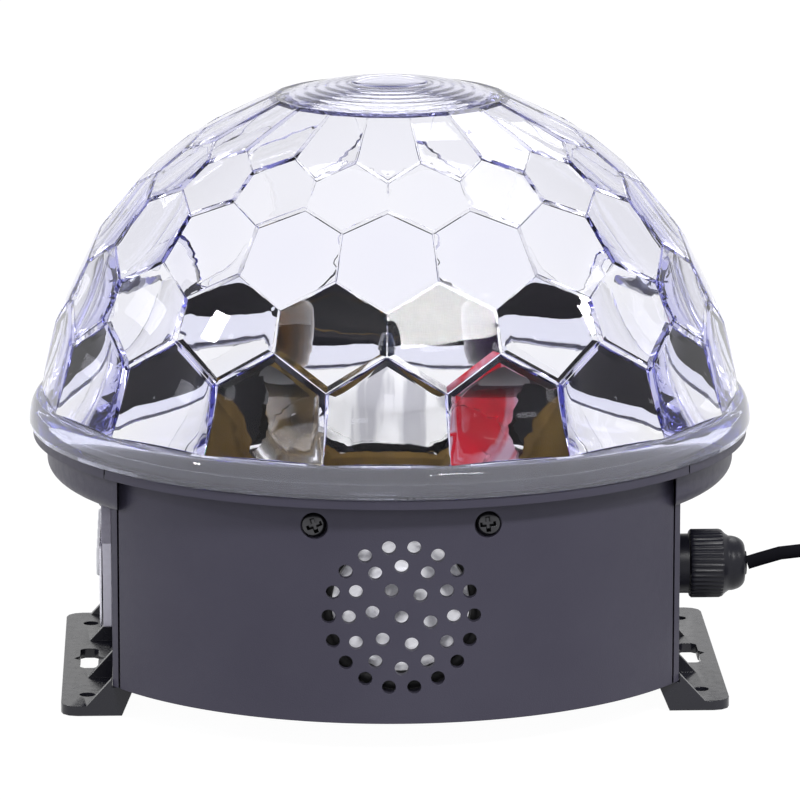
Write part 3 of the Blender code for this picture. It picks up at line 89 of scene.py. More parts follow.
# Soft lights: azimuth, elevation, distance, width and height, power, and whether they are mirrored
softboxes = {
    "side_left": (-69.5, 31.5, 1.8, (0.07, 0.10), 4.0, True),
    "side_right": (69, 31, 1.8, (0.05, 0.12), 4.0, True),
    "above_front": (21.5, 40.5, 1.6, (0.38, 0.16), 14.0, True),
    "left": (-105, 14, 1.6, (0.9, 0.6), 9.0, False),
    "above": (118, 63, 1.6, (0.8, 0.5), 8.0, False),
    "front": (-7.5, 18, 2.0, (0.5, 0.5), 7.0, False),
    "behind": (170, 45, 1.6, (1.0, 0.6), 8.0, True),
}

# Mains lead, as in the part
cord_radius = 0.00195
cord_spacing = 0.004
cord_route = (
    (0.1000, 0.0000, 0.0286), (0.1036, 0.0000, 0.0297), (0.1092, 0.0000, 0.0313),
    (0.1148, -0.0003, 0.0320), (0.1204, -0.0018, 0.0311), (0.1256, -0.0048, 0.0284),
    (0.1302, -0.0090, 0.0240), (0.1343, -0.0138, 0.0187), (0.1384, -0.0185, 0.0134),
    (0.1429, -0.0226, 0.0087), (0.1480, -0.0254, 0.0053), (0.1534, -0.0267, 0.0034),
    (0.1588, -0.0268, 0.0028), (0.1640, -0.0264, 0.0027),
)
tail_route = (
    (0.1724, -0.0264, 0.0160), (0.1766, -0.0263, 0.0160), (0.1819, -0.0252, 0.0160),
    (0.1873, -0.0224, 0.0158), (0.1919, -0.0182, 0.0152), (0.1953, -0.0128, 0.0140),
    (0.1976, -0.0066, 0.0123), (0.1987, -0.0001, 0.0104), (0.1991, 0.0066, 0.0087),
    (0.1992, 0.0136, 0.0075),
)
coil_mean_radius = 0.022
coil_pitch = 0.0044
coil_layers = 4
coil_turns_per_layer = 2
coil_points_per_turn = 48
climb_turns = 0.5
tie_width = 0.006
tie_thickness = 0.0004
coil_start_x, coil_start_y, coil_start_z = cord_route[-1]
coil_centre_x = coil_start_x + gap + 2 * cord_radius
coil_centre_y = coil_start_y + coil_mean_radius + coil_turns_per_layer * coil_pitch / 2

# Clear dome
dome_radius = 0.0967
dome_centre_z = 0.0704
facet_count = 18
facets_turn = math.radians(-2.4)
# Polar angles of the facets' corners by level, from the foot "f" through levels 0 to 7 to the crown "c"
corner_polar_degrees = {
    "f": 84.72, 0: 73.5, 1: 67.4, 2: 60.5, 3: 55.3, 4: 46.4, 5: 42.2, 6: 36.1, 7: 31.6, "c": 19.2
}
# How each row's caps are bent, from the flange up: radius across, radius upwards and lens drop
outer_bends = ((0.284, 0.284, 0),) * 5
inner_bends = (
    (-0.068, -0.039, -0.0048),
    (-0.150, -0.065, 0.0025),
    (-0.200, -0.200, 0),
    (-0.400, -0.400, 0),
    (-0.400, -0.400, 0),
)
inner_corner_radius = 0.0941
cell_rings = 8
apex_tries = 12
# Neighbouring caps meet in a band this wide; the power keeps their blend within it
edge_round = 0.00012
edge_hold = 120
facet_crease = math.radians(7)
crown_ring_radii = (0.0302, 0.0106)
crown_steps = 60
crown_disc_shares = (0.97, 0.75, 0.5, 0.25)
crown_ripple_pitch = 0.0029
crown_ripple_depth = 0.00003
crown_sinks = (0.0005, 0.0008)
crown_disc_sink = 0.0005
inner_crown_radius = 0.0936
inner_crown_rings = 9

# Dome flange
flange_radius = 0.0999
flange_bottom_z = 0.071
flange_top_z = 0.0793
flange_shoulder_radius = 0.0971
flange_shoulder_drop = 0.0003
flange_edge_height = 0.0012
flange_foot_chamfer = 0.0003
flange_arc_steps = 18
flange_bore = 0.0933
ledge_bottom_z = 0.0738
dome_boss_x = 0.0875
dome_boss_radius = 0.0034
dome_boss_height = 0.0125
dome_boss_bore = 0.0017

# Case
case_radius = 0.0924
case_bottom_z = 0.0083
panel_wall = 0.0022
lip_radius = 0.0989
lip_height = 0.0025
seam_x = 0.0751
lip_seam_x = 0.0786
side_face_x = 0.077
fairing_radius = 0.0951
fairing_corner = 0.0038
fairing_bottom_z = 0.0578
fairing_slope_drop = 0.0008
fairing_wall = 0.002
window_width = 0.0552
window_bottom_z = 0.0205
window_top_z = 0.0535
paint_top_z = 0.043
button_count = 5
button_edge = 0.00025
grille_z = 0.0374
grille_hole_radius = 0.00185
grille_rings = ((6, 0.0078, -10), (12, 0.0139, 0), (18, 0.0193, 0))  # holes, radius, degrees turned
panel_screw_x = 0.023
panel_screw_z = 0.0619
panel_recess_radius = 0.0036
panel_recess_floor_y = 0.0873
panel_boss_radius = 0.0052
panel_boss_back_y = 0.0853

# Panel screws; the cross is given as shares of the head's radius, floor and rim of its height
screw_length = 0.009
screw_shank_radius = 0.0014
screw_head_radius = 0.0033
screw_head_height = 0.0018
screw_cross_arm = 0.72
screw_cross_half = 0.2
screw_cross_taper = 0.6
screw_cross_floor = 0.15
screw_rim_share = 0.35
screw_turns = {"left": 0.35, "right": 0.09}

# Cable gland, each profile as (radius, distance from the dome's axis)
gland_z = 0.0286
gland_hole_radius = 0.0077
gland_bore = 0.0036
gland_body_profile = (
    (gland_bore, 0.0684), (0.0074, 0.0684), (0.0074, 0.0773), (0.0080, 0.0773), (0.0083, 0.0776),
    (0.00835, 0.0834), (gland_bore, 0.0834),
)
gland_nut_profile = (
    (gland_bore, 0.0837), (0.0091, 0.0837), (0.0096, 0.0842), (0.0096, 0.0850), (0.0096, 0.0920),
    (0.0093, 0.0928), (0.0083, 0.0938), (0.0077, 0.0947),
)
gland_neck_centre = (0.0047, 0.0947)
gland_neck_radius = 0.0030
gland_neck_stretch = 1.5
gland_mouth_profile = ((0.0045, 0.0992), (gland_bore, 0.0988))
gland_ribs = 42
gland_steps_per_rib = 6
gland_rib_depth = 0.00035
gland_rib_power = 0.6
gland_rib_heights = (0.0842, 0.0921)
gland_ribs_from = 0.0088

# Turning disc with its lens plate; the bronze values bound the bronzed middle and rim
disc_bottom_z = 0.0802
disc_radius = 0.042
disc_thickness = 0.002
disc_hub_radius = 0.0062
disc_hub_below = 0.0036
disc_hub_bore = 0.0028
disc_bronze_middle = 0.016
disc_bronze_rim = 0.0412
lens_count = 6
lens_arc_steps = 16
lens_ring_radius = 0.029
lens_hole_radius = 0.0094
lens_bulge_radius = 0.0088
lens_bulge_height = 0.0085
lens_plate_radius = 0.039
lens_plate_thickness = 0.0014
lens_plate_bore = 0.0066

# Speakers, each profile from the axis as (radius, height above the face)
cone_profile = (
    (0.0, -0.0097), (0.0072, -0.0097), (0.0174, -0.0015), (0.0183, -0.0015), (0.0183, -0.0006),
    (0.0180, 0.0), (0.0174, -0.0003), (0.0168, -0.0010), (0.0078, -0.0088), (0.0074, -0.0078),
    (0.0062, -0.0070), (0.0044, -0.0064), (0.0022, -0.0062), (0.0, -0.0062),
)
basket_profile = (
    (0.0, -0.0184), (0.0150, -0.0184), (0.0150, -0.0109), (0.0115, -0.0106), (0.0205, -0.0015),
    (0.0250, -0.0015), (0.0250, 0.0), (0.0240, 0.0), (0.0232, -0.0003), (0.0226, 0.0),
    (0.0214, 0.0), (0.0205, -0.0004), (0.0196, 0.0), (0.0188, -0.0001), (0.0186, -0.0015),
    (0.0078, -0.0106), (0.0, -0.0106),
)
speaker_z = 0.0394
speaker_seat_inner_radius = 0.0234
speaker_seat_outer_radius = 0.0254
speaker_rim_radius = 0.025

# Places worked out from the sizes above
lip_top_z = flange_bottom_z - gap
lip_bottom_z = lip_top_z - lip_height
panel_inner_radius = case_radius - panel_wall
panel_middle_radius = case_radius - panel_wall / 2
speaker_face_y = math.sqrt((panel_inner_radius - 2 * gap) ** 2 - speaker_rim_radius**2)
wall_inner_x = seam_x + gap / 2


def linked(name, data):
    """A new object in the scene."""
    made = bpy.data.objects.new(name, data)
    bpy.context.scene.collection.objects.link(made)
    return made


def aimed(made, target, azimuth, elevation, distance):
    """Points a camera or lamp at a target from a distance; azimuth runs from -Y towards +X."""
    level = math.cos(elevation)
    back = Vector((math.sin(azimuth) * level, -math.cos(azimuth) * level, math.sin(elevation)))
    made.location = Vector(target) + back * distance
    made.rotation_euler = back.to_track_quat("Z", "Y").to_euler()
    return made


def set_camera():
    """The photograph's view."""
    data = bpy.data.cameras.new("camera")
    data.lens = camera_lens
    data.sensor_width = camera_sensor
    data.clip_end = camera_clip
    camera = linked("camera", data)
    bpy.context.scene.camera = aimed(camera, camera_target, camera_azimuth, camera_elevation, camera_distance)


class Nodes:
    """A node tree whose nodes are added and joined by short calls."""

    def __init__(self, tree):
        self.tree = tree

    def add(self, kind, inputs=None, **settings):
        node = self.tree.nodes.new(kind)
        for key, value in settings.items():
            setattr(node, key, value)
        for key, value in (inputs or {}).items():
            self.feed(node, key, value)
        return node

    def feed(self, node, key, value):
        if isinstance(value, bpy.types.NodeSocket):
            self.tree.links.new(value, node.inputs[key])
        else:
            node.inputs[key].default_value = value

    def combine(self, operation, one, two):
        return self.add("ShaderNodeMath", {0: one, 1: two}, operation=operation).outputs[0]


class Shading(Nodes):
    """A material built round its Principled BSDF."""

    def __init__(self, name):
        self.material = bpy.data.materials.new(name)
        self.material.use_nodes = True
        super().__init__(self.material.node_tree)
        self.shader = self.tree.nodes["Principled BSDF"]
        self.output = self.tree.nodes["Material Output"]

    def set(self, **values):
        for key, value in values.items():
            name = key.replace("_", " ").title().replace("Ior", "IOR")
            self.feed(self.shader, name, value)

    def place(self):
        return self.add("ShaderNodeTexCoord").outputs["Object"]

    def noise(self, scale, detail=3.0, roughness=0.5, at=None):
        inputs = {"Vector": at or self.place(), "Scale": scale, "Detail": detail, "Roughness": roughness}
        return self.add("ShaderNodeTexNoise", inputs).outputs["Fac"]

    def spread(self, value, low, high, start=0.3, end=0.7):
        inputs = {"Value": value, "From Min": start, "From Max": end, "To Min": low, "To Max": high}
        return self.add("ShaderNodeMapRange", inputs).outputs["Result"]

    def mix(self, factor, one, two):
        ends = [v if isinstance(v, bpy.types.NodeSocket) else (*v, 1.0) for v in (one, two)]
        inputs = {"Factor": factor, 6: ends[0], 7: ends[1]}
        return self.add("ShaderNodeMix", inputs, data_type="RGBA").outputs[2]

    def mottle(self, pattern, one, two):
        return self.mix(self.spread(pattern, 0.0, 1.0), one, two)

    def bump(self, height, strength, distance, normal=None):
        inputs = {"Height": height, "Strength": strength, "Distance": distance}
        if normal is not None:
            inputs["Normal"] = normal
        return self.add("ShaderNodeBump", inputs).outputs["Normal"]

    def rounding(self, radius):
        return self.add("ShaderNodeBevel", {"Radius": radius}, samples=4).outputs["Normal"]


def moulded(name, dark, light, roughness, grain=0.00012, edge=0.0003, specular=0.5, metallic=0.0):
    """Moulded plastic: soft flow marks, a fine grain and edges that catch the light."""
    m = Shading(name)
    flow = m.noise(38.0, 2.0)
    cloud = m.noise(420.0, 4.0, 0.6)
    m.set(base_color=m.mottle(flow, dark, light))
    m.set(roughness=m.spread(cloud, roughness - 0.05, roughness + 0.06))
    normal = m.rounding(edge) if edge else None
    m.set(normal=m.bump(m.noise(2600.0, 2.0), 0.35, grain, normal))
    m.set(specular_ior_level=specular, metallic=metallic)
    return m.material


def two_part(name, lower, upper, height, roughness):
    """A moulding painted below a height and bare above it."""
    m = Shading(name)
    place = m.add("ShaderNodeSeparateXYZ", {"Vector": m.place()}).outputs["Z"]
    wander = m.spread(m.noise(220.0, 3.0), -0.00015, 0.00015)
    edge = m.combine("ADD", place, wander)
    above = m.spread(edge, 0.0, 1.0, height - 0.0001, height + 0.0001)
    grain = m.noise(500.0, 4.0, 0.6)
    paint = m.mottle(grain, [c * 0.9 for c in lower], lower)
    bare = m.mottle(grain, [c * 0.8 for c in upper], upper)
    m.set(base_color=m.mix(above, paint, bare))
    m.set(roughness=m.spread(grain, roughness - 0.05, roughness + 0.06))
    m.set(normal=m.bump(m.noise(2400.0, 2.0), 0.3, 0.00005, m.rounding(0.0003)))
    return m.material


def bronzed_disc(name):
    """The turning disc: black, with a bronzed middle and rim."""
    m = Shading(name)
    flat_place = m.add("ShaderNodeVectorMath", {0: m.place(), 1: (1.0, 1.0, 0.0)}, operation="MULTIPLY")
    reach = m.add("ShaderNodeVectorMath", {0: flat_place.outputs[0]}, operation="LENGTH").outputs["Value"]
    middle = m.spread(reach, 1.0, 0.0, disc_bronze_middle - gap, disc_bronze_middle)
    rim = m.spread(reach, 0.0, 1.0, disc_bronze_rim, disc_bronze_rim + gap)
    cloud = m.noise(160.0, 3.0, 0.6)
    bronze = m.mottle(cloud, (0.06, 0.036, 0.012), (0.14, 0.088, 0.027))
    colour = m.mix(m.combine("MAXIMUM", middle, rim), (0.010, 0.010, 0.012), bronze)
    m.set(base_color=colour, specular_ior_level=0.0)
    m.set(roughness=m.spread(cloud, 0.35, 0.5))
    m.set(normal=m.bump(m.noise(2600.0, 2.0), 0.3, 0.00003, m.rounding(0.0002)))
    return m.material


def metal(name, colour, roughness):
    """Plated steel with fine rolling marks and small spots of wear."""
    m = Shading(name)
    place = m.place()
    scale = m.add("ShaderNodeMapping", {"Vector": place, "Scale": (1.0, 1.0, 9.0)})
    lines = m.noise(900.0, 3.0, 0.6, scale.outputs["Vector"])
    spots = m.noise(260.0, 4.0, 0.65)
    m.set(base_color=m.mottle(spots, [c * 0.72 for c in colour], colour))
    m.set(roughness=m.spread(lines, roughness - 0.06, roughness + 0.1), metallic=1.0)
    m.set(normal=m.bump(lines, 0.2, 0.00005, m.rounding(0.0002)))
    return m.material


def coated_cone_with_painted_glow(name, colour):
    """A silver coated paper cone with a painted glow in patches, so that it shows bright through the grille.
    """
    m = Shading(name)
    glow_patches = m.noise(150.0, 2.0)
    fibres = m.noise(1100.0, 4.0, 0.6)
    m.set(base_color=m.mottle(fibres, [c * 0.8 for c in colour], colour))
    m.set(roughness=m.spread(fibres, 0.35, 0.5), metallic=0.25)
    # Painted light: the cone is no lamp, but it glows in patches so that the grille holes show bright.
    m.set(emission_color=(*colour, 1.0), emission_strength=m.spread(glow_patches, 0.04, 0.6, 0.42, 0.62))
    m.set(normal=m.bump(fibres, 0.2, 0.00005))
    return m.material


def clear_styrene(name, tint, density, clearness=1.0, ior=1.57, surface=(1.0, 1.0, 1.0)):
    """Clear moulded styrene: nearly white, a little blue where it is thick."""
    m = Shading(name)
    flow = m.noise(130.0, 2.0)
    m.set(base_color=(*surface, 1.0), transmission_weight=clearness, ior=ior, roughness=0.0)
    m.set(specular_tint=dome_gloss)
    m.set(normal=m.bump(flow, 0.1, 0.0001))
    absorb = m.add("ShaderNodeVolumeAbsorption", {"Color": (*tint, 1.0), "Density": density})
    m.feed(m.output, "Volume", absorb.outputs["Volume"])
    return m.material


def tinted_lens(name, colour, other, clearness, glow=0.0):
    """A moulded lens tinted through, with streaks of a second tint and a painted glow of its own."""
    m = Shading(name)
    tall = m.add("ShaderNodeMapping", {"Vector": m.place(), "Scale": (1.0, 1.0, 0.35)}).outputs["Vector"]
    swirl = m.noise(380.0, 2.0, 0.5, tall)
    tint = m.mix(m.spread(swirl, 0.0, 1.0, 0.42, 0.58), colour, other)
    # The glow is painted light: the lens is no lamp.
    m.set(base_color=tint, emission_color=tint, emission_strength=glow)
    m.set(roughness=0.06, transmission_weight=clearness, ior=1.5)
    m.set(specular_tint=dome_gloss)
    return m.material


def paper(name, colour, fleck, roughness):
    """A fibrous matt surface, such as a board's lacquer or a winding's tape."""
    m = Shading(name)
    fibres = m.noise(1400.0, 5.0, 0.7)
    m.set(base_color=m.mottle(fibres, fleck, colour), roughness=roughness)
    m.set(normal=m.bump(fibres, 0.3, 0.0001))
    return m.material


def lens_resin(name, colour):
    """A lamp's epoxy lens, tinted through."""
    m = Shading(name)
    swirl = m.noise(300.0, 2.0)
    pale = [c * 0.5 + 0.5 for c in colour]
    m.set(base_color=m.mix(m.spread(swirl, 0.0, 0.35), colour, pale))
    m.set(roughness=0.08, transmission_weight=0.35, ior=1.5, coat_weight=0.5)
    m.set(emission_color=(*colour, 1.0), emission_strength=0.35)
    return m.material


def circle(radius, steps, centre=(0.0, 0.0)):
    """Points round a circle, from -Y towards +X."""
    cx, cy = centre
    turns = [math.tau * k / steps for k in range(steps)]
    return [(cx + radius * math.sin(a), cy - radius * math.cos(a)) for a in turns]


def arc(centre, radius, start, end, steps):
    """Points along an arc in a plane; angles run from the first axis to the second."""
    turns = [start + (end - start) * k / steps for k in range(steps + 1)]
    return [(centre[0] + radius * math.cos(a), centre[1] + radius * math.sin(a)) for a in turns]


def bridge(bm, one, two):
    """Faces between two rings of the same count."""
    count = len(one)
    for k in range(count):
        m = (k + 1) % count
        bm.faces.new((one[k], one[m], two[m], two[k]))


def prism(outline, low, high):
    """A closed prism over an outline in X and Y."""
    bm = bmesh.new()
    below, above = [[bm.verts.new((x, y, z)) for x, y in outline] for z in (low, high)]
    bridge(bm, below, above)
    bm.faces.new(above)
    bm.faces.new(below[::-1])
    return bm


def block(one, two):
    """A closed box between two opposite corners."""
    (x0, x1), (y0, y1), (z0, z1) = (sorted(pair) for pair in zip(one, two))
    return prism([(x0, y0), (x1, y0), (x1, y1), (x0, y1)], z0, z1)


def turned(profile, steps, start=0.0, sweep=math.tau):
    """A solid turned about Z from (radius, height) points that run round its section."""
    full = math.isclose(sweep, math.tau)
    columns = steps if full else steps + 1
    angles = [start + sweep * k / steps for k in range(columns)]
    bm = bmesh.new()
    rings = []
    for radius, height in profile:
        if radius == 0:
            rings.append([bm.verts.new((0.0, 0.0, height))] * columns)
        else:
            places = [(radius * math.sin(a), -radius * math.cos(a), height) for a in angles]
            rings.append([bm.verts.new(place) for place in places])
    for lower, upper in zip(rings, rings[1:] + rings[:1]):
        for k in range(steps):
            m = (k + 1) % columns
            corners = list(dict.fromkeys((lower[k], lower[m], upper[m], upper[k])))
            if len(corners) > 2:
                bm.faces.new(corners)
    if not full:
        bm.faces.new([ring[0] for ring in rings])
        bm.faces.new([ring[-1] for ring in rings])
    return bm


def together(*parts):
    """Several meshes as one, each still a body of its own."""
    bm = bmesh.new()
    for part in parts:
        mesh = bpy.data.meshes.new("scrap")
        part.to_mesh(mesh)
        part.free()
        bm.from_mesh(mesh)
        bpy.data.meshes.remove(mesh)
    return bm


towards = {
    "+X": Matrix.Rotation(math.pi / 2, 3, "Y"),
    "+Y": Matrix.Rotation(-math.pi / 2, 3, "X"),
    "-Y": Matrix.Rotation(math.pi / 2, 3, "X"),
}


def moved(bm, place):
    """The same mesh, moved."""
    bmesh.ops.translate(bm, verts=bm.verts, vec=Vector(place))
    return bm


def placed(bm, way, place):
    """The same mesh, turned from +Z towards a named direction and moved."""
    bmesh.ops.rotate(bm, verts=bm.verts, matrix=towards[way])
    return moved(bm, place)


def spun(bm, angle):
    """The same mesh, turned about Z."""
    bmesh.ops.rotate(bm, verts=bm.verts, matrix=Matrix.Rotation(angle, 3, "Z"))
    return bm


def mesh_from(bm, name, crease=smooth_angle):
    """A mesh with its faces out and its round parts smooth."""
    bmesh.ops.recalc_face_normals(bm, faces=bm.faces)
    mesh = bpy.data.meshes.new(name)
    bm.to_mesh(mesh)
    bm.free()
    mesh.shade_smooth()
    mesh.set_sharp_from_angle(angle=crease)
    return mesh


def piece(name, bm, finish, slot, *replaced, body="case", crease=smooth_angle):
    """A piece of the scene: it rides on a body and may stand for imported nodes."""
    made = linked(name, mesh_from(bm, name, crease))
    made.data.materials.append(finish)
    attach(made, body)
    if replaced:
        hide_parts(*replaced)
    return made


def carved(bm, *steps):
    """A mesh after Boolean steps, each an operation and a tool's mesh."""
    base = linked("carved", mesh_from(bm, "carved"))
    made = [base]
    for operation, tool in steps:
        step = base.modifiers.new(operation, "BOOLEAN")
        step.operation = operation
        step.solver = "EXACT"
        step.object = linked("tool", mesh_from(tool, "tool"))
        made.append(step.object)
    graph = bpy.context.evaluated_depsgraph_get()
    result = bmesh.new()
    result.from_mesh(base.evaluated_get(graph).to_mesh())
    for scrap in made:
        bpy.data.objects.remove(scrap, do_unlink=True)
    return result


def smooth_through(points, spacing):
    """Points about one spacing apart on a smooth curve through the route's own points."""
    known = [Vector(p) for p in points]
    known = [known[0] * 2 - known[1], *known, known[-1] * 2 - known[-2]]
    out = [known[1]]
    for p0, p1, p2, p3 in zip(known, known[1:], known[2:], known[3:]):
        steps = max(1, round((p2 - p1).length / spacing))
        for step in range(1, steps + 1):
            t = step / steps
            straight = p1 * 2 + (p2 - p0) * t
            bent = (p0 * 2 - p1 * 5 + p2 * 4 - p3) * t**2 + (p1 * 3 - p0 - p2 * 3 + p3) * t**3
            out.append((straight + bent) / 2)
    return out


def coil_point(turns):
    """A place on the coil: it spirals in and out at a steady rate and climbs at each reversal."""
    reach = coil_turns_per_layer * coil_pitch
    last = coil_layers - 1
    layer = min(int(turns // coil_turns_per_layer), last)
    along = turns - layer * coil_turns_per_layer
    share = along / coil_turns_per_layer
    inward = share if layer % 2 == 0 else 1 - share
    radius = coil_mean_radius + reach / 2 - reach * inward
    level = float(layer)
    if along < climb_turns / 2 and layer > 0:
        level = layer - 1 / 2 + along / climb_turns
    if coil_turns_per_layer - along < climb_turns / 2 and layer < last:
        level = layer + 1 / 2 - (coil_turns_per_layer - along) / climb_turns
    angle = math.tau * turns
    x = coil_centre_x + radius * math.sin(angle)
    y = coil_centre_y - radius * math.cos(angle)
    return Vector((x, y, coil_start_z + coil_pitch * level))


def make_tie():
    """A flat band with rounded corners round the coil's turns."""
    reach = coil_turns_per_layer * coil_pitch / 4 + cord_radius + gap
    corner = cord_radius
    near, far = coil_mean_radius - reach + corner, coil_mean_radius + reach - corner
    low = coil_start_z - cord_radius - gap + corner
    high = coil_start_z + (coil_layers - 1) * coil_pitch + cord_radius + gap - corner

    def loop(out):
        points = []
        for quarter, centre in enumerate(((far, high), (near, high), (near, low), (far, low))):
            start = math.pi / 2 * quarter
            points += arc(centre, corner + out, start, start + math.pi / 2, arc_steps)
        return points

    inner, outer = loop(0.0), loop(tie_thickness)
    half, soft = tie_width / 2, tie_thickness / 4
    bm = bmesh.new()
    rows = [
        [bm.verts.new((coil_centre_x - y, coil_centre_y + x, z)) for x, z in points]
        for points, y in ((inner, -half), (outer, soft - half), (outer, half - soft), (inner, half))
    ]
    for one, two in zip(rows, rows[1:] + rows[:1]):
        bridge(bm, one, two)
    piece("tie_band", bm, cord_black, "cord_black", "cord_tie")


def make_cord():
    """The whole lead outside the case, from the gland to the plug, as one tube."""
    count = coil_layers * coil_turns_per_layer * coil_points_per_turn
    coil = [coil_point(coil_layers * coil_turns_per_layer * k / count) for k in range(count + 1)]
    points = smooth_through(cord_route, cord_spacing) + coil + smooth_through(tail_route, cord_spacing)
    curve = bpy.data.curves.new("mains_lead", "CURVE")
    curve.dimensions = "3D"
    curve.bevel_depth = cord_radius
    curve.bevel_resolution = 4
    curve.use_fill_caps = True
    spline = curve.splines.new("POLY")
    spline.points.add(len(points) - 1)
    for point, place in zip(spline.points, points):
        point.co = (*place, 1.0)
    spline.use_smooth = True
    curve.materials.append(cord_black)
    lead = linked("mains_lead", curve)
    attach(lead, "case")
    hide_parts("cord_lead", "cord_coil", "cord_tail")


def direction(level, half_steps):
    """A unit vector to a corner of the facets' pattern."""
    polar = math.radians(corner_polar_degrees[level])
    turn = math.pi / facet_count * half_steps + facets_turn
    return Vector((math.sin(polar) * math.sin(turn), -math.sin(polar) * math.cos(turn), math.cos(polar)))


def cap_radius(ray, middle, apex, bends):
    """How far out a ray meets a cell's cap, bent across and upwards; negative bends bulge inwards."""
    across = Vector((0.0, 0.0, 1.0)).cross(middle).normalized()
    square = ray.dot(middle)
    side = ray.dot(across) / square * apex
    up = ray.dot(middle.cross(across)) / square * apex
    bend_across, bend_up, lens_drop = bends
    return (apex - side**2 / (2 * bend_across) - (up + lens_drop) ** 2 / (2 * bend_up)) / square


def facet_cells():
    """Every cell of the dome as the names of its corners, from the flange up to the crown."""
    wide = 2 * facet_count
    cells = []
    for k in range(0, wide, 2):
        cells.append((0, [("f", k - 1), ("f", k + 1), (0, k + 1), (1, k), (0, k - 1)]))
        cells.append((4, [(6, k), (7, k + 1), ("c", k + 1), ("c", k - 1), (7, k - 1)]))
    for row, bottom, first in ((1, 0, 1), (2, 2, 0), (3, 4, 1)):
        for k in range(first, wide, 2):
            right = [(bottom + 1, k + 1), (bottom + 2, k + 1)]
            left = [(bottom + 2, k - 1), (bottom + 1, k - 1)]
            cells.append((row, [(bottom, k), *right, (bottom + 3, k), *left]))
    return [(row, [(level, k % wide) for level, k in cell]) for row, cell in cells]


def faceted_surface(bm, corner_radius, bends):
    """One side of the dome's wall as smooth caps that meet at narrow rounded edges."""
    rows, cells = zip(*facet_cells())
    rays = {corner: direction(*corner) for cell in cells for corner in cell}
    caps = []
    sharing = {}
    for index, cell in enumerate(cells):
        middle = sum((rays[c] for c in cell), Vector()).normalized()
        apex = corner_radius
        bend = bends[rows[index]]
        for _ in range(apex_tries):
            found = sum(cap_radius(rays[c], middle, apex, bend) for c in cell) / len(cell)
            apex += corner_radius - found
        caps.append((middle, apex, bend))
        for a, b in zip(cell, cell[1:] + cell[:1]):
            sharing.setdefault(frozenset((a, b)), set()).add(index)
            sharing.setdefault(a, set()).add(index)

    def mean_radius(ray, who):
        return sum(cap_radius(ray, *caps[i]) for i in who) / len(who)

    def edge_radius(ray, a, b, t):
        who = sharing[frozenset((a, b))]
        lift = [mean_radius(rays[c], sharing[c]) - mean_radius(rays[c], who) for c in (a, b)]
        return mean_radius(ray, who) + lift[0] * (1 - t) + lift[1] * t

    made = {}

    def vertex(ray, radius):
        key = tuple(round(c, 6) for c in ray)
        if key not in made:
            made[key] = bm.verts.new(ray * radius + Vector((0.0, 0.0, dome_centre_z)))
        return made[key]

    for index, cell in enumerate(cells):
        middle = caps[index][0]
        for a, b in zip(cell, cell[1:] + cell[:1]):
            gauges = [g / cell_rings for g in range(1, cell_rings + 1)]
            gauges.insert(-1, None)  # the ring where the rounded edge starts
            rings = [[vertex(middle, cap_radius(middle, *caps[index]))]]
            for step, gauge in enumerate(gauges, 1):
                count = min(step, cell_rings)
                ring = []
                for j in range(count + 1):
                    t = j / count
                    rim = rays[a].lerp(rays[b], t)
                    share = gauge or 1 - edge_round / ((rim - middle).length * corner_radius)
                    ray = middle.lerp(rim, share).normalized()
                    rim = rim.normalized()
                    off = edge_radius(rim, a, b, t) - cap_radius(rim, *caps[index])
                    ring.append(vertex(ray, cap_radius(ray, *caps[index]) + off * share**edge_hold))
                rings.append(ring)
            for inner, outer in zip(rings, rings[1:]):
                for j in range(len(outer) - 1):
                    if len(inner) == len(outer):
                        bm.faces.new((inner[j], outer[j], outer[j + 1], inner[j + 1]))
                        continue
                    bm.faces.new((inner[j], outer[j], outer[j + 1]))
                    if j + 1 < len(inner):
                        bm.faces.new((inner[j], outer[j + 1], inner[j + 1]))

    def border(row, first):
        ring = []
        for k in range(first, first + 2 * facet_count, 2):
            a, b = (row, k % (2 * facet_count)), (row, (k + 2) % (2 * facet_count))
            for j in range(cell_rings):
                ray = rays[a].lerp(rays[b], j / cell_rings).normalized()
                ring.append(vertex(ray, corner_radius))
        return ring

    return border("f", 1), border("c", 1)


def bands(bm, ring, outline):
    """Faces from a ring down through level rings given as (radius, height); returns the last ring."""
    for radius, height in outline:
        below = []
        for vert in ring:
            flat = Vector((vert.co.x, vert.co.y, 0.0)).normalized() * radius
            below.append(bm.verts.new((flat.x, flat.y, height)))
        bridge(bm, ring, below)
        ring = below
    return ring


def sphere_height(radius, sphere):
    """The height of the dome's sphere at a distance from its axis."""
    return dome_centre_z + math.sqrt(sphere**2 - radius**2)


def crown_outline():
    """The rippled crown from its rim to the apex disc."""
    first, last = crown_ring_radii
    outline = []
    for step in range(crown_steps + 1):
        share = step / crown_steps
        radius = first + (last - first) * share
        ripple = crown_ripple_depth * math.cos(math.tau * (first - radius) / crown_ripple_pitch)
        sink = crown_sinks[0] + (crown_sinks[1] - crown_sinks[0]) * share
        outline.append((radius, sphere_height(radius, dome_radius) - sink + ripple))
    for share in crown_disc_shares:
        radius = last * share
        outline.append((radius, sphere_height(radius, dome_radius) - crown_disc_sink))
    return outline


def flange_outline():
    """The flange's rounded edge, from its shoulder to its bore."""
    shoulder_z = flange_top_z - flange_shoulder_drop
    edge_z = flange_bottom_z + flange_edge_height
    outline = []
    for step in range(flange_arc_steps + 1):
        a = math.pi / 2 * step / flange_arc_steps
        radius = flange_shoulder_radius + (flange_radius - flange_shoulder_radius) * math.sin(a)
        outline.append((radius, edge_z + (shoulder_z - edge_z) * math.cos(a)))
    outline.append((flange_radius - flange_foot_chamfer, flange_bottom_z))
    outline.append((flange_bore, flange_bottom_z))
    return outline


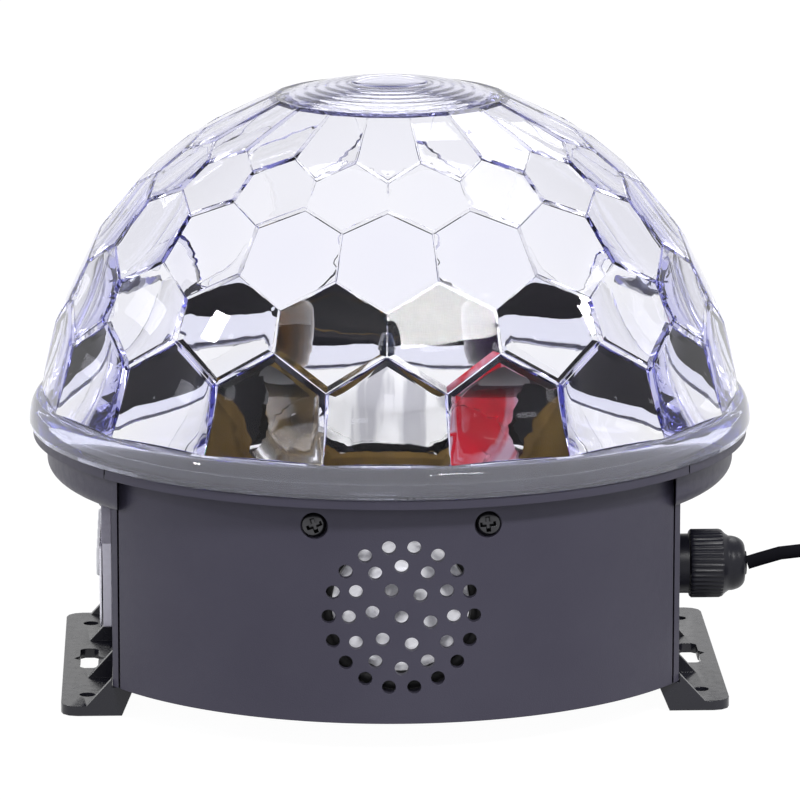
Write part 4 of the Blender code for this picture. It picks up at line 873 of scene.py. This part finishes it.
def make_dome():
    """The clear dome: faceted outside, a lens in each cell inside, crown rings, flange and bosses."""
    bm = bmesh.new()
    outer_foot, outer_crown = faceted_surface(bm, dome_radius, outer_bends)
    inner_foot, inner_crown = faceted_surface(bm, inner_corner_radius, inner_bends)
    bm.faces.new(bands(bm, outer_crown, crown_outline()))
    steps = range(inner_crown_rings - 1, 0, -1)
    radii = [crown_ring_radii[0] * step / inner_crown_rings for step in steps]
    bm.faces.new(bands(bm, inner_crown, [(r, sphere_height(r, inner_crown_radius)) for r in radii]))
    ledge_radius = min(vert.co.xy.length for vert in inner_foot) - gap
    ledge_z = inner_foot[0].co.z
    ledge = [(flange_bore, ledge_bottom_z), (ledge_radius, ledge_bottom_z), (ledge_radius, ledge_z)]
    bridge(bm, bands(bm, outer_foot, flange_outline() + ledge), inner_foot)
    bmesh.ops.remove_doubles(bm, verts=bm.verts, dist=weld_distance)
    dome = piece("dome_lens", bm, clear, "clear_plastic", "crystal_dome", crease=facet_crease)
    dome.data.materials.append(flange_clear)
    # The crown takes a greyer copy of the styrene: painted shade.
    dome.data.materials.append(crown_shaded_clear)
    crown_bottom_z = sphere_height(crown_ring_radii[0], dome_radius) - 2 * crown_sinks[0]
    for polygon in dome.data.polygons:
        if polygon.center.z < flange_top_z:
            polygon.material_index = 1
        elif polygon.center.z > crown_bottom_z and polygon.normal.z > 0:
            polygon.material_index = 2
    bottom, top = flange_bottom_z + gap, flange_bottom_z + dome_boss_height
    profile = [
        (dome_boss_bore, bottom), (dome_boss_radius, bottom), (dome_boss_radius, top), (0.0, top),
        (0.0, top - dome_boss_radius), (dome_boss_bore, top - dome_boss_radius),
    ]
    bosses = [moved(turned(profile, boss_steps), (side * dome_boss_x, 0.0, 0.0)) for side in (-1, 1)]
    piece("dome_bosses", together(*bosses), clear, "clear_plastic")


def into_wall(bm):
    """Ends a boss or ring at the middle of the curved wall; its heights run outwards."""
    for vert in bm.verts:
        if vert.co.z > panel_inner_radius:
            vert.co.z = math.sqrt(panel_middle_radius**2 - vert.co.x**2)
    bmesh.ops.triangulate(bm, faces=bm.faces)
    return bm


def make_panel(name, node, turn):
    """A curved panel with its grille, screw recesses and speaker seat."""
    section = [
        (panel_inner_radius, case_bottom_z), (case_radius, case_bottom_z), (case_radius, lip_bottom_z),
        (lip_radius, lip_bottom_z), (lip_radius, lip_top_z), (panel_inner_radius, lip_top_z),
    ]
    reach = math.asin(seam_x / case_radius) + panel_spare
    shell = turned(section, panel_steps, -reach, 2 * reach)
    trims = []
    for side in (-1, 1):
        for end, low, high in (
            (seam_x - gap / 2, case_bottom_z - overrun, lip_bottom_z),
            (lip_seam_x - gap / 2, case_bottom_z - overrun, lip_top_z + overrun),
        ):
            trim = block((side * end, -lip_radius, low), (side * lip_radius, 0.0, high))
            trims.append(("DIFFERENCE", trim))

    def forward(bm):
        return placed(bm, "-Y", (0.0, 0.0, 0.0))

    near, far = speaker_face_y + gap, panel_middle_radius
    inner, outer = speaker_seat_inner_radius, speaker_seat_outer_radius
    seat = turned([(inner, near), (outer, near), (outer, far), (inner, far)], round_steps)
    seat = forward(into_wall(moved(seat, (0.0, speaker_z, 0.0))))
    back, floor, outer = panel_boss_back_y, panel_recess_floor_y, case_radius + overrun
    centres = [(side * panel_screw_x, panel_screw_z) for side in (-1, 1)]
    bosses = [prism(circle(panel_boss_radius, boss_steps, c), back, panel_middle_radius) for c in centres]
    recesses = [prism(circle(panel_recess_radius, round_steps, c), floor, outer) for c in centres]
    bores = [prism(circle(dome_boss_bore, bore_steps, c), back - overrun, case_radius) for c in centres]
    inner = panel_inner_radius * math.cos(math.asin(speaker_rim_radius / case_radius)) - overrun
    centres = [(0.0, grille_z)]
    for count, radius, degrees in grille_rings:
        for k in range(count):
            a = math.tau * k / count + math.radians(degrees)
            centres.append((radius * math.cos(a), grille_z + radius * math.sin(a)))
    holes = [prism(circle(grille_hole_radius, hole_steps, c), inner, outer) for c in centres]
    raised = ("UNION", forward(together(*[into_wall(boss) for boss in bosses])))
    cuts = [("DIFFERENCE", forward(together(*tools))) for tools in (recesses, bores, holes)]
    shell = carved(shell, *trims, ("UNION", seat), raised, *cuts)
    piece(name, spun(shell, turn), case_plastic, "case_plastic", node)


def side_moulding(side):
    """A flat side wall with the fairing and the lip piece over it."""
    corner_centre = (fairing_radius - fairing_corner, fairing_bottom_z + fairing_corner)
    skin = fairing_wall
    inner_r = wall_inner_x - overrun * 3
    outer = [
        (inner_r, fairing_bottom_z - fairing_slope_drop),
        *arc(corner_centre, fairing_corner, -math.pi / 2, 0.0, fairing_outer_steps),
        (fairing_radius, lip_bottom_z), (lip_radius, lip_bottom_z), (lip_radius, lip_top_z),
        (inner_r, lip_top_z), (inner_r, lip_bottom_z), (fairing_radius - skin, lip_bottom_z),
        *arc(corner_centre, fairing_corner - skin, 0.0, -math.pi / 2, fairing_inner_steps),
        (inner_r, fairing_bottom_z - fairing_slope_drop + skin),
    ]
    reach = math.acos(inner_r / lip_radius) + wing_spare
    middle = side * math.pi / 2
    wing = turned(outer, wing_steps, middle - reach, 2 * reach)
    trim = block((0.0, -lip_radius, case_bottom_z), (side * wall_inner_x, lip_radius, lip_radius))
    lip_end = (side * (lip_seam_x + gap / 2), lip_radius, lip_top_z + overrun)
    lip_trim = block((0.0, -lip_radius, lip_bottom_z - gap), lip_end)
    back_x = wall_inner_x + gap / 2
    inner_y = math.sqrt(case_radius**2 - back_x**2)
    outer_y = math.sqrt(case_radius**2 - side_face_x**2)
    back, face = side * back_x, side * side_face_x
    outline = [(back, -inner_y), (face, -outer_y), (face, outer_y), (back, inner_y)]
    wall = prism(outline, case_bottom_z, fairing_bottom_z + skin / 2)
    return wing, [("DIFFERENCE", trim), ("DIFFERENCE", lip_trim), ("UNION", wall)]


def make_sides():
    """Left wall with the window for the controls, right wall with the gland's hole."""
    wing, steps = side_moulding(-1)
    window = block(
        (-side_face_x - overrun, -window_width / 2, window_bottom_z),
        (-wall_inner_x + overrun, window_width / 2, window_top_z),
    )
    left = carved(wing, *steps, ("DIFFERENCE", window))
    piece("left_wall", left, case_plastic, "case_plastic", "left_side")
    wing, steps = side_moulding(1)
    hole = prism(circle(gland_hole_radius, round_steps), wall_inner_x - overrun, side_face_x + overrun)
    hole = placed(hole, "+X", (0.0, 0.0, gland_z))
    right = carved(wing, *steps, ("DIFFERENCE", hole))
    piece("right_wall", right, case_plastic, "case_plastic", "right_side")


def rounded_copy(node, name, finish, slot, width, body="case"):
    """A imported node's shape with its flat faces joined and its edges rounded."""
    bm = bmesh.new()
    bm.from_mesh(nodes[node].data)
    bmesh.ops.remove_doubles(bm, verts=bm.verts, dist=copy_weld_distance)
    bmesh.ops.dissolve_limit(
        bm, angle_limit=flat_angle, verts=bm.verts, edges=bm.edges, use_dissolve_boundaries=False
    )
    bevel = piece(name, bm, finish, slot, node, body=body).modifiers.new("rounding", "BEVEL")
    bevel.width = width
    bevel.segments = 2
    bevel.limit_method = "ANGLE"
    bevel.angle_limit = bevel_angle
    bevel.harden_normals = True
    bevel.use_clamp_overlap = True


def node_material(node, finish):
    """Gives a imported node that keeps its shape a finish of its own."""
    nodes[node].data.materials.clear()
    nodes[node].data.materials.append(finish)


def screw_shape():
    """A pan-head screw along +Z with a cross recess; its seat is at the origin."""
    head, height, shank = screw_head_radius, screw_head_height, screw_shank_radius
    rim = height * screw_rim_share
    turns = [math.pi / 2 * k / arc_steps for k in range(arc_steps)]
    profile = [
        (0.0, -screw_length), (shank, -screw_length + shank), (shank, 0.0), (head - gap, 0.0),
        (head, gap / 2), *[(head * math.cos(a), rim + (height - rim) * math.sin(a)) for a in turns],
        (0.0, height),
    ]
    arm, half = head * screw_cross_arm, head * screw_cross_half
    outline = [(arm, -half), (arm, half), (half, half)]
    for _ in range(3):
        outline += [(-y, x) for x, y in outline[-3:]]
    cross = prism(outline, height * screw_cross_floor, height + gap / 2)
    for vert in cross.verts:
        if vert.co.z < height / 2:
            vert.co.xy *= screw_cross_taper
    return carved(turned(profile, screw_steps), ("DIFFERENCE", cross))


def make_screws():
    """The cross-head screws of the front and rear panels."""
    for side, side_name in ((-1, "left"), (1, "right")):
        for end, end_name, way in ((-1, "front", "-Y"), (1, "rear", "+Y")):
            node = f"{end_name}_panel_screw_{side_name}"
            place = (side * panel_screw_x, end * (panel_recess_floor_y + gap), panel_screw_z)
            bm = placed(spun(screw_shape(), screw_turns[side_name]), way, place)
            piece(f"{node}_fine", bm, screw_steel, "screw_steel", node)


def ribbed(profile):
    """The gland nut turned about Z, with lengthwise ribs round its wall."""
    bm = turned(profile, gland_ribs * gland_steps_per_rib)
    low, high = gland_rib_heights
    for vert in bm.verts:
        flat = Vector((vert.co.x, vert.co.y, 0.0))
        if low <= vert.co.z <= high and flat.length > gland_ribs_from:
            wave = 0.5 - 0.5 * math.cos(math.atan2(vert.co.x, -vert.co.y) * gland_ribs)
            vert.co -= flat.normalized() * gland_rib_depth * wave**gland_rib_power
    return bm


def make_gland():
    """The gland's body and its ribbed dome nut."""
    x, z = gland_neck_centre
    neck = arc((x, 0.0), gland_neck_radius, 0.0, math.pi / 2, arc_steps)[1:]
    neck = [(r, z + h * gland_neck_stretch) for r, h in neck]
    for name, bm, node in (
        ("gland_base", turned(gland_body_profile, round_steps), "gland_body"),
        ("gland_cap", ribbed([*gland_nut_profile, *neck, *gland_mouth_profile]), "gland_nut"),
    ):
        piece(name, placed(bm, "+X", (0.0, 0.0, gland_z)), gland_black, "black_plastic", node)


def make_speakers():
    """Baskets, surrounds and silver cones behind the grilles."""
    for name, way, sign in (("front", "-Y", -1), ("rear", "+Y", 1)):
        place = (0.0, sign * speaker_face_y, speaker_z)
        for part, profile, finish, slot, node in (
            ("cone", cone_profile, cone_silver, "cone_silver", f"{name}_speaker_cone"),
            ("basket", basket_profile, speaker_black, "speaker_black", f"{name}_speaker"),
        ):
            bm = placed(turned(profile, round_steps), way, place)
            piece(f"{name}_{part}_fine", bm, finish, slot, node)


def pierced(profile, top, radius, centres):
    """A turned plate with a round hole at each centre."""
    tools = [prism(circle(radius, round_steps, c), -overrun, top + overrun) for c in centres]
    return carved(turned(profile, disc_steps), ("DIFFERENCE", together(*tools)))


def make_disc():
    """The turning disc and the clear plate of lenses over it."""
    top = disc_thickness
    profile = [
        (disc_hub_bore, -disc_hub_below), (disc_hub_radius, -disc_hub_below), (disc_hub_radius, 0.0),
        (disc_radius - gap, 0.0), (disc_radius, gap), (disc_radius, top - gap),
        (disc_radius - gap, top), (disc_hub_bore, top),
    ]
    centres = circle(lens_ring_radius, lens_count)
    disc = moved(pierced(profile, top, lens_hole_radius, centres), (0.0, 0.0, disc_bottom_z))
    piece("disc_fine", disc, disc_bronze, "bronze_plastic", "pattern_disc", body="disc")
    inner, outer, top = lens_plate_bore, lens_plate_radius, lens_plate_thickness
    profile = [(inner, 0.0), (outer, 0.0), (outer, top), (inner, top)]
    plate_z = disc_bottom_z + disc_thickness + gap
    plate = moved(pierced(profile, top, lens_bulge_radius, centres), (0.0, 0.0, plate_z))
    piece("lens_disc", plate, lens_clear, "clear_plastic", "lens_plate", body="disc")
    reach = lens_bulge_radius - gap / 10
    turns = [math.pi / 2 * step / lens_arc_steps for step in range(lens_arc_steps)]
    dome = [(reach * math.cos(a), top + lens_bulge_height * math.sin(a)) for a in turns]
    profile = [(0.0, 0.0), (reach, 0.0), *dome, (0.0, top + lens_bulge_height)]
    for centre, tint in zip(centres, lens_tints):
        lens = moved(turned(profile, round_steps), (*centre, plate_z))
        piece(tint.name, lens, tint, "clear_plastic", body="disc")


def make_world():
    """A pale studio: a white sweep all round, with a dark ceiling in the reflections alone."""
    world = bpy.data.worlds.new("studio")
    bpy.context.scene.world = world
    world.use_nodes = True
    world.node_tree.nodes.clear()
    w = Nodes(world.node_tree)
    path = w.add("ShaderNodeLightPath").outputs
    way = w.add("ShaderNodeTexCoord").outputs["Generated"]
    height = w.add("ShaderNodeSeparateXYZ", {0: way}).outputs["Z"]

    def ground(strength, colour=(1.0, 1.0, 1.0, 1.0)):
        return w.add("ShaderNodeBackground", {"Color": colour, "Strength": strength}).outputs[0]

    def by_height(fade, top):
        inputs = {"Value": height, "From Min": fade[0], "From Max": fade[1], "To Min": 1.0, "To Max": top}
        return ground(w.add("ShaderNodeMapRange", inputs, interpolation_type="SMOOTHSTEP").outputs["Result"])

    def choose(factor, other, chosen):
        return w.add("ShaderNodeMixShader", {0: path[factor], 1: other, 2: chosen}).outputs[0]

    mirrored = by_height(ceiling_mirrored_fade, ceiling_mirrored)
    shown = choose("Is Glossy Ray", ground(*wall_mirrored), mirrored)
    shown = choose("Is Transmission Ray", shown, by_height(ceiling_through_fade, ceiling_through))
    shown = choose("Is Camera Ray", shown, ground(1.0))
    w.add("ShaderNodeOutputWorld", {0: shown})


def make_floor():
    """A white floor that shows white to the camera and keeps a faint shadow."""
    reach = floor_reach
    corners = ((-reach, -reach), (reach, -reach), (reach, reach), (-reach, reach))
    mesh = bpy.data.meshes.new("floor")
    mesh.from_pydata([(x, y, floor_z) for x, y in corners], [], [(0, 1, 2, 3)])
    m = Shading("floor_white")
    path = m.add("ShaderNodeLightPath").outputs
    seen = m.combine("MAXIMUM", path["Is Camera Ray"], path["Is Glossy Ray"])
    seen = m.combine("MAXIMUM", seen, path["Is Transmission Ray"])
    shading = m.add("ShaderNodeBsdfDiffuse", {"Color": floor_shading}).outputs[0]
    glow = m.add("ShaderNodeEmission", {"Color": (1.0, 1.0, 1.0, 1.0), "Strength": floor_glow}).outputs[0]
    shown = m.add("ShaderNodeMixShader", {0: floor_shading_share, 1: glow, 2: shading}).outputs[0]
    bounce = m.add("ShaderNodeBsdfDiffuse", {"Color": floor_bounce}).outputs[0]
    mixed = m.add("ShaderNodeMixShader", {0: seen, 1: bounce, 2: shown}).outputs[0]
    m.feed(m.output, "Surface", mixed)
    mesh.materials.append(m.material)
    linked("floor", mesh)


def make_softbox(name, azimuth, elevation, distance, size, power, mirrored):
    """A rectangular soft light that points at the dome."""
    data = bpy.data.lights.new(name, "AREA")
    data.shape = "RECTANGLE"
    data.size, data.size_y = size
    data.energy = power
    lamp = linked(name, data)
    lamp.visible_glossy = mirrored
    target = (0.0, 0.0, dome_centre_z)
    aimed(lamp, target, math.radians(azimuth), math.radians(elevation), distance)


scene = bpy.context.scene
scene.view_settings.view_transform = "Standard"
scene.cycles.max_bounces = scene.cycles.transmission_bounces = clear_bounces
scene.cycles.glossy_bounces = glossy_bounces
set_camera()

clear = clear_styrene("clear_styrene", (0.80, 0.80, 0.93), 75.0)
flange_clear = clear_styrene("flange_styrene", (0.80, 0.82, 0.99), 75.0, 0.92, surface=(0.97, 0.97, 1.0))
# The crown's copy of the styrene is greyed: painted shade, not a tint of its own.
crown_shaded_clear = clear_styrene("crown_styrene_painted_shade", (0.80, 0.80, 0.93), 75.0, surface=(0.88, 0.88, 0.97))
lens_clear = clear_styrene("lens_styrene", (0.95, 0.96, 1.0), 10.0, ior=1.02)
lens_tints = [
    # Only the white lens has a painted glow (its last value).
    tinted_lens("lens_white", (0.55, 0.55, 0.56), (1.0, 1.0, 0.97), 0.05, 0.25),
    tinted_lens("lens_red", (0.80, 0.01, 0.03), (0.90, 0.62, 0.78), 0.3),
    tinted_lens("lens_violet", (0.02, 0.012, 0.03), (0.05, 0.02, 0.09), 0.7),
    tinted_lens("lens_blue", (0.01, 0.015, 0.03), (0.015, 0.03, 0.10), 0.7),
    tinted_lens("lens_amber", (0.04, 0.02, 0.008), (0.12, 0.05, 0.01), 0.6),
    tinted_lens("lens_gold", (0.05, 0.04, 0.02), (0.30, 0.19, 0.05), 0.6),
]
case_plastic = moulded("case_plastic_fine", (0.042, 0.039, 0.060), (0.048, 0.045, 0.067), 0.45, specular=0.3)
gloss_black = moulded(
    "black_plastic_fine", (0.009, 0.009, 0.014), (0.014, 0.014, 0.021), 0.24, 0.00004, specular=0.4
)
deck_black = moulded("deck_black_fine", (0.010, 0.009, 0.013), (0.016, 0.015, 0.020), 0.6, 0.00003, 0, 0.0)
gland_black = moulded(
    "gland_black_fine", (0.006, 0.006, 0.010), (0.010, 0.010, 0.016), 0.34, 0.00004, specular=0.25
)
disc_bronze = bronzed_disc("disc_bronze_fine")
silver_plastic = moulded(
    "silver_plastic_fine", (0.74, 0.73, 0.81), (0.84, 0.83, 0.90), 0.24, 0.00004, metallic=0.85
)
panel_paint = two_part("control_paint", (0.80, 0.78, 0.88), (0.36, 0.345, 0.42), paint_top_z, 0.32)
button_plastic = moulded("button_plastic_fine", (0.62, 0.62, 0.66), (0.72, 0.72, 0.75), 0.35, 0.00004)
smoked = moulded("smoked_plastic_fine", (0.03, 0.002, 0.004), (0.05, 0.004, 0.008), 0.1, 0.00001)
socket_black = moulded("socket_plastic_fine", (0.012, 0.012, 0.012), (0.02, 0.02, 0.02), 0.5, 0.00004)
board_black = paper("board_black_fine", (0.014, 0.014, 0.016), (0.010, 0.010, 0.012), 0.5)
board_green = paper("board_green_fine", (0.02, 0.16, 0.07), (0.014, 0.11, 0.05), 0.35)
screw_steel = metal("screw_steel_fine", (0.07, 0.07, 0.075), 0.18)
bright_steel = metal("bright_steel_fine", (0.66, 0.66, 0.67), 0.26)
speaker_black = paper("speaker_black_fine", (0.02, 0.02, 0.021), (0.012, 0.012, 0.012), 0.55)
cone_silver = coated_cone_with_painted_glow("cone_silver_fine", (0.80, 0.80, 0.84))
winding_yellow = paper("transformer_tape", (0.75, 0.52, 0.10), (0.62, 0.42, 0.08), 0.45)
cord_black = moulded("cord_rubber", (0.006, 0.006, 0.008), (0.010, 0.010, 0.013), 0.6, 0.00006, 0, 0.0)

make_world()
make_floor()
for softbox_name, softbox in softboxes.items():
    make_softbox(softbox_name, *softbox)

make_dome()
make_panel("front_shell", "front_panel", 0.0)
make_panel("rear_shell", "rear_panel", math.pi)
make_sides()
make_screws()
make_gland()
make_speakers()
make_disc()
for node_name, name, finish, slot, edge in (
    ("left_foot", "left_bracket", gloss_black, "black_plastic", 0.0004),
    ("right_foot", "right_bracket", gloss_black, "black_plastic", 0.0004),
    ("control_panel", "control_frame", panel_paint, "black_plastic", 0.0003),
    ("control_plate", "control_face", silver_plastic, "silver_plastic", 0.00015),
    ("plug", "plug_body", cord_black, "cord_black", 0.0006),
    ("usb_socket", "usb_shell", bright_steel, "bright_steel", 0.0001),
    ("card_socket", "card_shell", socket_black, "socket_plastic", 0.0001),
    ("infrared_window", "receiver_window", smoked, "smoked_plastic", 0.0003),
):
    rounded_copy(node_name, name, finish, slot, edge)
for button in [f"button_{k}" for k in range(1, button_count + 1)]:
    rounded_copy(button, f"{button}_cap", button_plastic, "button_plastic", button_edge, button)
make_tie()
make_cord()
foot_screws = [f"{side}_foot_screw_{end}" for side in ("left", "right") for end in ("front", "rear")]
for finish, names in (
    (deck_black, ["deck"]),
    (case_plastic, ["base_tray"]),
    (board_black, ["light_board"]),
    (board_green, ["main_board", "power_board"]),
    (bright_steel, ["drive_motor", "disc_shaft", "plug_pin_left", "plug_pin_right"]),
    (screw_steel, ["disc_screw", "dome_screw_left", "dome_screw_right", *foot_screws]),
    (winding_yellow, ["transformer"]),
    (gland_black, ["gland_locknut"]),
    (cord_black, ["gland_seal", "lead_inside"]),
):
    for node_name in names:
        node_material(node_name, finish)
lamp_tints = {
    "red": (0.85, 0.03, 0.02),
    "green": (0.04, 0.6, 0.12),
    "blue": (0.03, 0.12, 0.8),
    "white": (0.9, 0.9, 0.88),
    "amber": (0.85, 0.42, 0.04),
    "violet": (0.4, 0.07, 0.6),
}
for colour_name, tint in lamp_tints.items():
    node_material(f"lamp_{colour_name}", lens_resin(f"lamp_{colour_name}_resin", tint))
